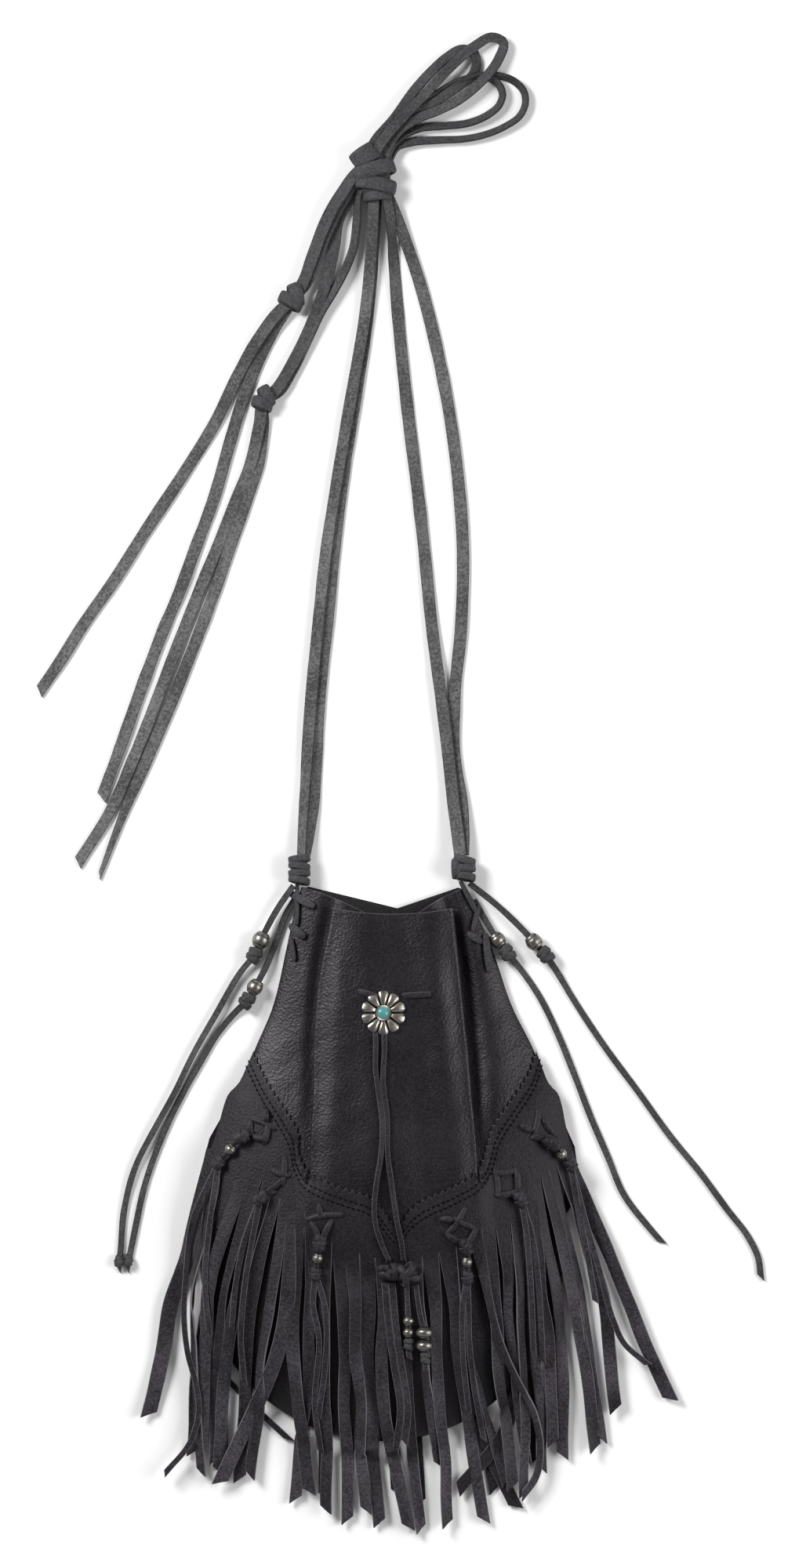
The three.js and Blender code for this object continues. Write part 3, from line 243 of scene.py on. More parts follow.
class Draft:
    """A mesh in the making: vertices in millimetres, faces, and two shade values for each vertex."""

    def __init__(self) -> None:
        """Starts empty."""
        self.vertices: list[Array] = []
        self.faces: list[list[int]] = []
        self.marks: list[Array] = []
        self.shades: list[Array] = []
        self.count = 0

    def add(self, points: Array, marks: Values = 0.0, shades: Values = 0.0) -> int:
        """Adds vertices.

        Args:
            points: Points, one a row.
            marks: How much each vertex is a cut edge, a hollow or painted shade, or one value for all.
            shades: How much each vertex shows the flesh side, or one value for all.

        Returns:
            Index of the first of them.
        """
        first = self.count
        self.vertices.append(points.reshape(-1, 3))
        size = len(self.vertices[-1])
        self.marks.append(np.broadcast_to(np.asarray(marks, float).reshape(-1), (size,)))
        self.shades.append(np.broadcast_to(np.asarray(shades, float).reshape(-1), (size,)))
        self.count += size
        return first

    def weave(self, first: int, rows: int, columns: int, closed: bool = False, flip: bool = False) -> None:
        """Covers a grid of vertices with four-sided faces.

        Args:
            first: Index of the grid's first vertex.
            rows: Rows of the grid.
            columns: Columns of the grid.
            closed: Whether the last column meets the first one.
            flip: Whether the faces point the other way.
        """
        for i in range(rows - 1):
            for j in range(columns if closed else columns - 1):
                k = (j + 1) % columns
                face = [first + i * columns + j, first + (i + 1) * columns + j]
                face += [first + (i + 1) * columns + k, first + i * columns + k]
                self.faces.append(face[::-1] if flip else face)

    def wall(self, above: int, below: int, count: int) -> None:
        """Joins two closed rows of vertices.

        Args:
            above: Index of the first vertex of one row.
            below: Index of the first vertex of the other row.
            count: Vertices of each row.
        """
        for k in range(count):
            n = (k + 1) % count
            self.faces.append([above + k, below + k, below + n, above + n])

    def tube(
        self, rings: Array, marks: Values = 0.0, shades: Values = 0.0, looped: bool = False
    ) -> None:
        """Adds a closed tube through rings of points.

        Args:
            rings: Array of rings, points and coordinates.
            marks: How much each vertex is a cut edge, a hollow or painted shade.
            shades: How much each vertex shows the flesh side.
            looped: Whether the last ring meets the first one.
        """
        count, sides = rings.shape[:2]
        first = self.add(rings, marks, shades)
        last = first + (count - 1) * sides
        self.weave(first, count, sides, closed=True)
        if looped:
            self.wall(last, first, sides)
            return
        self.faces.append([first + j for j in range(sides)])
        self.faces.append([last + j for j in reversed(range(sides))])

    def sheet(self, upper: Array, lower: Array, rim_mark: float, lip_mark: float) -> None:
        """Adds a closed sheet between two grids, the first one above.

        Args:
            upper: Upper grid of points.
            lower: Lower grid of points.
            rim_mark: Value of the cut rim for the finish.
            lip_mark: Value of the upper grid's first row.
        """
        rows, columns = upper.shape[:2]
        marks = np.zeros((rows, columns))
        marks[0] = lip_mark
        top = self.add(upper, marks)
        bottom = self.add(lower)
        self.weave(top, rows, columns)
        self.weave(bottom, rows, columns, flip=True)
        rim = [(i, 0) for i in range(rows - 1)] + [(rows - 1, j) for j in range(columns - 1)]
        rim += [(i, columns - 1) for i in range(rows - 1, 0, -1)]
        rim += [(0, j) for j in range(columns - 1, 0, -1)]
        above, below = (self.add(np.array([grid[i, j] for i, j in rim]), rim_mark) for grid in (upper, lower))
        self.wall(above, below, len(rim))

    def prism(self, outline: Array, low: float, high: float) -> None:
        """Adds a flat plate.

        Args:
            outline: Points of its outline in the plan, anticlockwise.
            low: Height of its underside.
            high: Height of its top.
        """
        count = len(outline)
        over, under = (np.column_stack([outline, np.full(count, height)]) for height in (high, low))
        top, bottom = self.add(over), self.add(under)
        self.faces.append([top + k for k in range(count)])
        self.faces.append([bottom + k for k in reversed(range(count))])
        self.wall(self.add(over, 1.0), self.add(under, 1.0), count)

    def make(self, name: str, finish: "Finish", slot: Slot, crease: float, *nodes: str) -> Piece:
        """Turns the draft into a piece of the bag.

        Args:
            name: Name of the piece.
            finish: Its finish.
            slot: The record's slot of that finish.
            crease: Angle in degrees past which an edge stays sharp.
            nodes: Solids that it stands for.

        Returns:
            The piece.
        """
        mesh = bpy.data.meshes.new(name)
        mesh.from_pydata(np.concatenate(self.vertices) * MM, [], self.faces)
        for title, values in (("edge_hollow_and_painted_shade", self.marks), ("flesh_side", self.shades)):
            attribute = mesh.attributes.new(title, "FLOAT", "POINT")
            attribute.data.foreach_set("value", np.concatenate(values).astype(np.float32))
        mesh.materials.append(finish.material())
        mesh.shade_smooth()
        mesh.set_sharp_from_angle(angle=math.radians(crease))
        piece = add_piece(name, mesh, slot)
        if nodes:
            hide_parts(*nodes)
        return piece


# Finishes


Colour = tuple[float, float, float]
Socket = bpy.types.NodeSocket
Tree = bpy.types.NodeTree
Input = float | Row | Socket


def set_inputs(tree: Tree, node: bpy.types.Node, inputs: dict[str | int, Input]) -> None:
    """Sets inputs of a node to values or links them to sockets.

    Args:
        tree: Tree that the node is in.
        node: The node.
        inputs: Values or sockets by the input's name or number.
    """
    for name, value in inputs.items():
        if isinstance(value, Socket):
            tree.links.new(value, node.inputs[name])
        else:
            node.inputs[name].default_value = value


def add_node(
    tree: Tree, kind: str, inputs: dict[str | int, Input], **settings: str | bool | Tree
) -> bpy.types.Node:
    """Adds a node with its settings and inputs.

    Args:
        tree: Tree to add the node to.
        kind: Type of the node.
        inputs: Values or sockets by the input's name or number.
        settings: Properties of the node itself.

    Returns:
        The node.
    """
    node = tree.nodes.new(kind)
    for name, setting in settings.items():
        setattr(node, name, setting)
    set_inputs(tree, node, inputs)
    return node


def add_sockets(tree: Tree, way: str, kinds: dict[str, str]) -> None:
    """Gives a node group its inputs or outputs, by name and type."""
    for name, kind in kinds.items():
        tree.interface.new_socket(name, in_out=way, socket_type="NodeSocket" + kind)


def noise(tree: Tree, place: Socket, scale: float, detail: float) -> Socket:
    """A noise pattern over the surface."""
    inputs = {"Vector": place, "Scale": scale, "Detail": detail}
    return add_node(tree, "ShaderNodeTexNoise", inputs).outputs["Fac"]


def map_range(tree: Tree, value: Socket, source: Span = (0.0, 1.0), target: Span = (0.0, 1.0)) -> Socket:
    """A value moved from one range to another."""
    limits = dict(zip(("From Min", "From Max", "To Min", "To Max"), (*source, *target)))
    return add_node(tree, "ShaderNodeMapRange", {"Value": value, **limits}).outputs["Result"]


def scale_and_add(tree: Tree, value: Socket, share: float, rest: Input) -> Socket:
    """A share of one value, added to another."""
    node = add_node(tree, "ShaderNodeMath", {0: value, 1: share, 2: rest}, operation="MULTIPLY_ADD")
    return node.outputs[0]


def vertex_mark(tree: Tree, name: str) -> Socket:
    """One of the two shade values that a draft gives its vertices."""
    return add_node(tree, "ShaderNodeAttribute", {}, attribute_name=name).outputs["Fac"]


def mix_colours(tree: Tree, factor: Socket, first: Socket | Colour, second: Socket | Colour) -> Socket:
    """Blends two colours by a mask.

    Args:
        tree: Tree to add the node to.
        factor: Mask, 0 for the first colour and 1 for the second.
        first: A colour or the socket that gives it.
        second: A colour or the socket that gives it.

    Returns:
        The socket of the blended colour.
    """
    node = tree.nodes.new("ShaderNodeMix")
    node.data_type = "RGBA"
    sockets = {socket.identifier: socket for socket in [*node.inputs, *node.outputs]}
    tree.links.new(factor, sockets["Factor_Float"])
    for name, colour in (("A_Color", first), ("B_Color", second)):
        if isinstance(colour, tuple):
            sockets[name].default_value = (*colour, 1.0)
        else:
            tree.links.new(colour, sockets[name])
    return sockets["Result_Color"]


@dataclass(frozen=True)
class GrainGroup:
    """The shader group of leather grain: pebbles, fibres, wrinkles and large cloudy patches.

    Each pattern has its scale and detail, and the shares say how much of it is in the height or in the cloud.
    """

    name: str = "leather_grain"
    smoothness: float = 0.6
    fibres: Span = (820.0, 3.0)
    wrinkles: Span = (230.0, 2.0)
    clouds: Span = (42.0, 5.0)
    fibre_height: float = 0.4
    wrinkle_height: float = 0.9
    fibre_cloud: float = 0.6
    cloud_cloud: float = 0.4

    def tree(self) -> Tree:
        """Builds the group once.

        Returns:
            The node tree.
        """
        known = bpy.data.node_groups.get(self.name)
        if known:
            return known
        tree = bpy.data.node_groups.new(self.name, "ShaderNodeTree")
        add_sockets(tree, "INPUT", {"Vector": "Vector", "Pebbles": "Float"})
        add_sockets(tree, "OUTPUT", {"Height": "Float", "Cloud": "Float"})
        entry = tree.nodes.new("NodeGroupInput").outputs
        place = entry["Vector"]
        sizes = {"Vector": place, "Scale": entry["Pebbles"], "Smoothness": self.smoothness}
        pebble = add_node(tree, "ShaderNodeTexVoronoi", sizes, feature="SMOOTH_F1").outputs["Distance"]
        fibre = noise(tree, place, *self.fibres)
        rough = scale_and_add(tree, fibre, self.fibre_height, pebble)
        height = scale_and_add(tree, noise(tree, place, *self.wrinkles), self.wrinkle_height, rough)
        fleck = scale_and_add(tree, fibre, self.fibre_cloud, 0.0)
        cloud = scale_and_add(tree, noise(tree, place, *self.clouds), self.cloud_cloud, fleck)
        add_node(tree, "NodeGroupOutput", {"Height": height, "Cloud": cloud})
        return tree


@dataclass(frozen=True)
class Finish:
    """A surface whose material is built at its first use."""

    name: str

    def material(self) -> bpy.types.Material:
        """Builds the material once.

        Returns:
            The material.
        """
        known = bpy.data.materials.get(self.name)
        if known:
            return known
        material = bpy.data.materials.new(self.name)
        material.use_nodes = True
        tree = material.node_tree
        place = tree.nodes.new("ShaderNodeTexCoord").outputs["Object"]
        set_inputs(tree, tree.nodes["Principled BSDF"], self.looks(tree, place))
        return material

    def looks(self, tree: Tree, place: Socket) -> dict[str | int, Input]:
        """Says what the inputs of the shader are, in each kind of finish."""
        raise NotImplementedError


@dataclass(frozen=True)
class LeatherFinish(Finish):
    """A leather: dyed face, paler cut edges, grain and sheen."""

    face: Colour
    worn: Colour
    flesh: Colour
    edge: Colour
    gloss: Span
    pebbles: float
    relief: float
    specular: float = 0.4
    sheen: Colour = (1.0, 0.94, 1.0)
    fleck: Span = (0.45, 1.55)
    cloud_range: Span = (0.4, 0.62)
    bump: float = 0.8

    def looks(self, tree: Tree, place: Socket) -> dict[str | int, Input]:
        """Builds dye, flesh side, cut edges, gloss and grain.

        Args:
            tree: Tree of the material.
            place: Coordinates that the grain follows.

        Returns:
            Inputs of the shader.
        """
        inputs = {"Pebbles": self.pebbles, "Vector": place}
        grain = add_node(tree, "ShaderNodeGroup", inputs, node_tree=GrainGroup().tree()).outputs
        shade = map_range(tree, grain["Cloud"], self.cloud_range)
        dark, pale = (tuple(part * share for part in self.flesh) for share in self.fleck)
        face = mix_colours(tree, shade, self.face, self.worn)
        reverse = mix_colours(tree, shade, dark, pale)
        turned = mix_colours(tree, vertex_mark(tree, "flesh_side"), face, reverse)
        relief = {"Strength": self.bump, "Distance": self.relief * MM, "Height": grain["Height"]}
        return {
            "Base Color": mix_colours(tree, vertex_mark(tree, "edge_hollow_and_painted_shade"), turned, self.edge),
            "Roughness": map_range(tree, grain["Cloud"], target=self.gloss),
            "Normal": add_node(tree, "ShaderNodeBump", relief).outputs["Normal"],
            "Specular IOR Level": self.specular,
            "Specular Tint": (*self.sheen, 1.0),
        }


@dataclass(frozen=True)
class MetalFinish(Finish):
    """An antiqued metal: bright where rubbed, dark in its hollows and where painted shade is marked."""

    bright: Colour
    dark: Colour
    gloss: Span
    tarnish: Span = (520.0, 4.0)
    tarnish_range: Span = (0.45, 0.75)
    tarnish_share: float = 0.5

    def looks(self, tree: Tree, place: Socket) -> dict[str | int, Input]:
        """Builds the tarnish, the dark of the hollows and the painted shade.

        Args:
            tree: Tree of the material.
            place: Coordinates that the tarnish follows.

        Returns:
            Inputs of the shader.
        """
        stains = noise(tree, place, *self.tarnish)
        tarnish_and_painted_shade = map_range(tree, stains, self.tarnish_range, (0.0, self.tarnish_share))
        # The vertex marks add patina in the hollows and painted shade, such as towards the concho's petal
        # tips
        both = {0: tarnish_and_painted_shade, 1: vertex_mark(tree, "edge_hollow_and_painted_shade")}
        dark = add_node(tree, "ShaderNodeMath", both, operation="ADD", use_clamp=True).outputs[0]
        return {
            "Base Color": mix_colours(tree, dark, self.bright, self.dark),
            "Roughness": map_range(tree, dark, target=self.gloss),
            "Metallic": 1.0,
        }


@dataclass(frozen=True)
class StoneFinish(Finish):
    """A polished turquoise, clouded from blue to green."""

    blue: Colour
    green: Colour
    gloss: float = 0.22
    clouds: Span = (620.0, 4.0)
    cloud_range: Span = (0.36, 0.66)

    def looks(self, tree: Tree, place: Socket) -> dict[str | int, Input]:
        """Builds the clouded colour.

        Args:
            tree: Tree of the material.
            place: Coordinates that the clouds follow.

        Returns:
            Inputs of the shader.
        """
        tint = add_node(tree, "ShaderNodeValToRGB", {"Fac": noise(tree, place, *self.clouds)})
        stops = zip(tint.color_ramp.elements, self.cloud_range, (self.blue, self.green))
        for stop, position, colour in stops:
            stop.position = position
            stop.color = (*colour, 1.0)
        return {"Base Color": tint.outputs["Color"], "Roughness": self.gloss}


POUCH_LEATHER = LeatherFinish(
    "pouch_leather",
    face=(0.0032, 0.0027, 0.0033),
    worn=(0.0125, 0.0106, 0.0129),
    flesh=(0.03, 0.029, 0.03),
    edge=(0.1, 0.096, 0.1),
    gloss=(0.33, 0.5),
    pebbles=880.0,
    relief=0.17,
    specular=0.35,
)
LINING_LEATHER = LeatherFinish(
    "flesh_side",
    face=(0.012, 0.0115, 0.012),
    worn=(0.02, 0.019, 0.02),
    flesh=(0.03, 0.03, 0.03),
    edge=(0.04, 0.04, 0.04),
    gloss=(0.75, 0.9),
    pebbles=900.0,
    relief=0.2,
    specular=0.2,
)
FRINGE_LEATHER = LeatherFinish(
    "fringe_grain",
    face=(0.0038, 0.0032, 0.0042),
    worn=(0.0165, 0.014, 0.0178),
    flesh=(0.062, 0.055, 0.067),
    edge=(0.15, 0.143, 0.157),
    gloss=(0.45, 0.65),
    pebbles=880.0,
    relief=0.22,
    specular=0.25,
)
LACE_LEATHER = LeatherFinish(
    "lace_grain",
    face=(0.016, 0.0155, 0.0175),
    worn=(0.032, 0.031, 0.034),
    flesh=(0.105, 0.105, 0.104),
    edge=(0.02, 0.02, 0.021),
    gloss=(0.6, 0.85),
    pebbles=900.0,
    relief=0.28,
    specular=0.35,
)
THREAD = LeatherFinish(
    "stitch_thread",
    face=(0.002, 0.002, 0.002),
    worn=(0.003, 0.003, 0.003),
    flesh=(0.002, 0.002, 0.002),
    edge=(0.002, 0.002, 0.002),
    gloss=(0.8, 0.9),
    pebbles=900.0,
    relief=0.05,
    specular=0.08,
)
PEWTER = MetalFinish("antiqued_pewter", (0.27, 0.255, 0.235), (0.04, 0.038, 0.035), (0.34, 0.58))
SILVER = MetalFinish("antiqued_silver", (0.5, 0.47, 0.42), (0.045, 0.042, 0.038), (0.26, 0.5))
TURQUOISE = StoneFinish("turquoise_stone", (0.05, 0.22, 0.25), (0.1, 0.3, 0.28))


# The pouch


@dataclass
class Pouch:
    """The pleated pouch: its outline, its height and the box pleat of its front."""

    wall: float = 1.4
    seam: float = 3.2
    back_rest: float = 1.5
    # Middle and radius of the round bottom: x, y, radius
    base: Row = (-13.5, -24.7, 88.0)
    # y, left edge, right edge
    outline: Route = (
        (156, -50.5, 25), (140, -55.5, 31.5), (122, -60, 40.5), (97, -66.5, 50), (77, -75, 60),
        (58, -82.5, 67.5), (40, -90, 71.5), (20, -96.5, 74.2), (0, -100, 75), (-24.7, -101.5, 74.5),
    )
    # y, height of the dome, height of the pleat
    profile: Route = (
        (156, 7.5, 6.5), (122, 10.5, 7), (77, 14, 6.8), (40, 18.5, 5.2), (0, 21.5, 4.6), (-25, 21, 5),
        (-60, 17, 5), (-90, 11, 5), (-105, 7.5, 5), (-112, 5, 5),
    )
    # y, left edge of the pleat, right edge, depth of the tuck under it
    pleat: Route = (
        (150, -37.8, 21.6, 20), (113, -44, 24.6, 13), (79, -46.6, 28, 9), (55, -46.6, 29.8, 6),
        (33, -47.7, 32, 4), (8, -48, 33, 3),
    )
    # x at the mouth, x at the yoke, width, height
    folds: Route = ((-37, -42, 5, 0.6), (-22, -19, 9, 0.7), (-3, 12, 12, -1.5))
    ripple_fade: Span = (-45.0, 0.0)
    dome_power: float = 2.6
    dome_round: float = 0.75
    pleat_turn: float = 0.9
    # y, part of the pleat's height that its rounded edges lose
    shoulder: Route = ((152, 0.08), (135, 0.14), (110, 0.3), (90, 0.3))
    shoulder_width: float = 6.5
    # Depth and width of the hollow beside the pleat, left and right
    valleys: tuple[Row, Row] = ((1.6, 3.2), (4.4, 7.0))
    valley_fade: Span = (18.0, 62.0)
    valley_start: Span = (0.25, 0.5)
    pleat_fade: Span = (-45.0, 20.0)
    bridge_top: float = 40.0
    bridge_width: float = 14.0
    bridge_slope: float = 0.45
    bridge_inset: float = 1.0
    skirt_grow: float = 6.0
    skirt_rise: float = 0.8
    front_end: float = -112.0
    mouth_y: float = 150.0
    mouth_seam: float = 5.5
    mouth_tuck: float = -8.5
    mouth_roll: float = -4.6
    mouth_middle: float = -7.2
    mouth_depth: float = 50.0
    mouth_power: float = 1.3
    # x, y of the back panel's cut top edge
    notch: Route = ((-49, 155.9), (-5.9, 145.4), (23.5, 155.4))
    slow_crease: float = 0.3
    quick_crease: float = 0.1
    crease_fade: float = 8.0
    upper_span: Span = (149.5, 8.0)
    lower_span: Span = (6.0, -111.4)
    section_step: float = 0.5
    side_steps: int = 22
    turn_steps: int = 8
    middle_steps: int = 56
    rows: int = 120
    back_steps: int = 40
    arc_steps: int = 48

    def edges(self, y: float, grow: float = 0.0) -> Span:
        """Left and right edge of the pouch.

        Args:
            y: Height of the section.
            grow: Margin by which the outline is grown.

        Returns:
            The two places across.
        """
        middle_x, middle_y, radius = self.base
        if y >= middle_y:
            return read_table(self.outline, 1, y) - grow, read_table(self.outline, 2, y) + grow
        half = math.sqrt(max((radius + grow) ** 2 - (y - middle_y) ** 2, 0.0))
        return middle_x - half, middle_x + half

    def dome(self, x: Values, y: float, foot: float, grow: float = 0.0, rise: float = 0.0) -> Values:
        """Height of a plain dome over the outline.

        Args:
            x: Places across the pouch.
            y: Height of the section.
            foot: Height of the dome's edge.
            grow: Margin by which the outline is grown.
            rise: Height added to the dome's top.

        Returns:
            The heights.
        """
        left, right = self.edges(y, grow)
        across = np.abs((2.0 * np.asarray(x, float) - left - right) / max(right - left, 1e-6))
        peak = max(read_table(self.profile, 1, y) + rise, foot)
        return foot + (peak - foot) * np.clip(1.0 - across**self.dome_power, 0.0, None) ** self.dome_round

    def ripple(self, x: Array, y: float) -> Array:
        """Soft ridges and hollows down the middle panel.

        Args:
            x: Places across the pouch.
            y: Height of the section.

        Returns:
            Heights to add.
        """
        down = ramp(0.0, 1.0, (self.mouth_y - y) / self.mouth_y)
        total = np.zeros_like(np.asarray(x, float))
        for top, bottom, width, height in self.folds:
            total += height * np.exp(-(((x - top - (bottom - top) * down) / width) ** 2))
        return total * smoothstep(*self.ripple_fade, y)

    def side(self, y: float, sign: int) -> Array:
        """One pleated half of a section, from its seam to the rolled edge of the middle panel.

        Args:
            y: Height of the section.
            sign: -1 on the left, 1 on the right.

        Returns:
            Rows of x, z and rise at the mouth.
        """
        column = 0 if sign < 0 else 1
        seam = self.edges(y)[column]
        edge = read_table(self.pleat, 1 + column, y)
        tuck = edge - sign * read_table(self.pleat, 3, y)
        lift = read_table(self.profile, 2, y) * (1.0 - read_table(self.shoulder, 1, y))
        roll = lift / 2.0 - self.pleat_turn
        depth, width = self.valleys[column]
        along = 1.0 - np.cos(np.linspace(0.0, math.pi / 2.0, self.side_steps + 1))
        x = seam + (tuck - seam) * along
        deep = depth * smoothstep(*self.valley_fade, y)
        dip = deep * np.exp(-(((x - edge) / width) ** 2)) * ramp(*self.valley_start, along)
        z = self.dome(x, y, self.seam) - dip
        rise = self.mouth_seam + (self.mouth_tuck - self.mouth_seam) * along**self.mouth_power
        angle = math.pi * (np.linspace(0.0, 1.0, self.turn_steps + 1) - 0.5)

        def half_round(middle: Span, radius: float, out: int, lip: float) -> Array:
            """Half a circle of leather that turns back on itself, and its rise at the mouth."""
            turn_x = middle[0] + out * radius * np.cos(angle)
            return np.column_stack([turn_x, middle[1] + radius * np.sin(angle), np.full_like(angle, lip)])

        roll_x = edge - sign * roll
        high = float(self.dome(roll_x, y, self.seam)) + lift - roll
        under = half_round((tuck, float(z[-1]) + self.pleat_turn), self.pleat_turn, -sign, self.mouth_tuck)
        over = half_round((roll_x, high), roll, sign, self.mouth_roll)
        return np.concatenate([np.column_stack([x, z, rise]), under[1:], over])

    @lru_cache(maxsize=None)
    def section(self, y: float) -> Array:
        """The outer line of the front panel at a height.

        Args:
            y: Height of the section.

        Returns:
            Rows of x, z and rise at the mouth, from the left seam to the right one.
        """
        left_side, right_side = self.side(y, -1), self.side(y, 1)[::-1]
        step = np.linspace(0.0, 1.0, self.middle_steps + 1)[1:-1]
        x = left_side[-1, 0] + (right_side[0, 0] - left_side[-1, 0]) * step
        bow = 1.0 - (2.0 * step - 1.0) ** 2
        inside = np.minimum(x - left_side[-1, 0], right_side[0, 0] - x)
        round_off = 1.0 - read_table(self.shoulder, 1, y) * np.exp(-((inside / self.shoulder_width) ** 2))
        z = self.dome(x, y, self.seam) + read_table(self.profile, 2, y) * round_off + bow * self.ripple(x, y)
        middle = np.column_stack([x, z, self.mouth_roll + (self.mouth_middle - self.mouth_roll) * bow])
        pleated = np.concatenate([left_side, middle, right_side])
        left, right = self.edges(y)
        across = (1.0 - np.cos(np.linspace(0.0, math.pi, len(pleated)))) / 2.0
        plain_x = left + (right - left) * across
        plain_z = self.dome(plain_x, y, self.seam) + self.ripple(plain_x, y) * np.sin(math.pi * across)
        folded = smoothstep(*self.pleat_fade, y)
        plain = np.column_stack([plain_x, plain_z, pleated[:, 2]])
        return plain + (pleated - plain) * folded

    def __hash__(self) -> int:
        """Lets a section be kept once it is worked out."""
        return id(self)

    def height(self, x: float, y: float) -> float:
        """Height of the front panel's outer face above a point of the floor.

        Args:
            x: Place across.
            y: Place up the bag.

        Returns:
            The height, 0 beside the panel.
        """
        line = self.section(round(y / self.section_step) * self.section_step)
        a, b = line[:-1], line[1:]
        spans = ((a[:, 0] - x) * (b[:, 0] - x) <= 0.0) & (a[:, 0] != b[:, 0])
        if not spans.any():
            return 0.0
        a, b = a[spans], b[spans]
        return float((a[:, 1] + (b[:, 1] - a[:, 1]) * (x - a[:, 0]) / (b[:, 0] - a[:, 0])).max())

    def cover(self, x: float, y: float) -> float:
        """Height that the yoke, the strips and the laces lie on.

        Args:
            x: Place across.
            y: Place up the bag.

        Returns:
            The height.
        """
        skirt = float(self.dome(x, y, self.back_rest, self.skirt_grow, self.skirt_rise))
        if not self.front_end < y < self.mouth_y:
            return skirt
        return max(self.height(x, y), skirt, self.bridge(x, y))

    def bridge(self, x: float, y: float) -> float:
        """Height of leather that spans the step beside the pleat, below the top of the yoke.

        Args:
            x: Place across.
            y: Place up the bag.

        Returns:
            The height, 0 where nothing is spanned.
        """
        left, right = read_table(self.pleat, 1, y), read_table(self.pleat, 2, y)
        out = max(left - x, x - right)
        if y > self.bridge_top or not 0.0 < out < self.bridge_width:
            return 0.0
        edge = left + self.bridge_inset if x < left else right - self.bridge_inset
        return self.height(edge, y) - out * self.bridge_slope

    def crumple(self, x: Values, y: Values) -> Values:
        """Small creases of the soft leather, from waves of unlike lengths that don't repeat over the bag.

        Args:
            x: Places across.
            y: Places up the bag.

        Returns:
            Heights to add.
        """
        slow = np.sin(0.11 * x + 0.045 * y + 1.3) * np.sin(0.06 * y - 0.05 * x)
        quick = np.sin(0.31 * x - 0.12 * y + 2.0 * np.sin(0.05 * y)) * np.sin(0.17 * y + 0.1 * x + 0.7)
        return self.slow_crease * slow + self.quick_crease * quick

    def build_front(self) -> None:
        """Makes the front panel."""
        top = self.mouth_y
        fine = np.linspace(*self.upper_span, self.rows * 2 // 3)
        coarse = np.linspace(*self.lower_span, self.rows // 3)
        upper, lower = [], []
        for y in [top, *fine.tolist(), *coarse.tolist()]:
            line = self.section(y)
            tangent = unit_rows(np.gradient(line[:, :2], axis=0))
            left, right = self.edges(y)
            across = np.clip((2.0 * line[:, 0] - left - right) / (right - left), -1.0, 1.0)
            folded = smoothstep(*self.pleat_fade, y)
            inward = np.column_stack([-across, -np.sqrt(1.0 - across**2)]) * (1.0 - folded)
            inward += np.column_stack([tangent[:, 1], -tangent[:, 0]]) * folded
            place_y = y + line[:, 2] * smoothstep(top - self.mouth_depth, top, y)
            ease = np.clip((1.0 - np.abs(across)) * self.crease_fade, 0.0, 1.0)
            shift = self.crumple(line[:, 0], place_y) * ease
            outer = line[:, :2] - inward * shift[:, None]
            inner = outer + inward * self.wall
            upper.append(np.column_stack([outer[:, 0], place_y, outer[:, 1]]))
            lower.append(np.column_stack([inner[:, 0], place_y, np.maximum(inner[:, 1], self.seam)]))
        draft = Draft()
        draft.sheet(np.array(upper), np.array(lower), rim_mark=0.6, lip_mark=0.7)
        draft.make("bag_front_leather", POUCH_LEATHER, Slot.BAG, 60.0, "bag_front")

    def build_back(self) -> None:
        """Makes the flat back panel."""
        sides = np.linspace(self.notch[0][1] - 1.0, self.base[1], self.back_steps).tolist()
        left = [(self.edges(y)[0], y) for y in sides]
        right = [(self.edges(y)[1], y) for y in reversed(sides)]
        middle_x, middle_y, radius = self.base
        arc = [math.pi * (1.0 + k / self.arc_steps) for k in range(1, self.arc_steps)]
        bottom = [(middle_x + radius * math.cos(a), middle_y + radius * math.sin(a)) for a in arc]
        outline = np.array(left + bottom + right + list(self.notch[::-1]), float)
        draft = Draft()
        draft.prism(outline, self.back_rest, self.back_rest + self.wall)
        draft.make("bag_back_leather", LINING_LEATHER, Slot.BAG, 50.0, "bag_back")


# Laces and strips


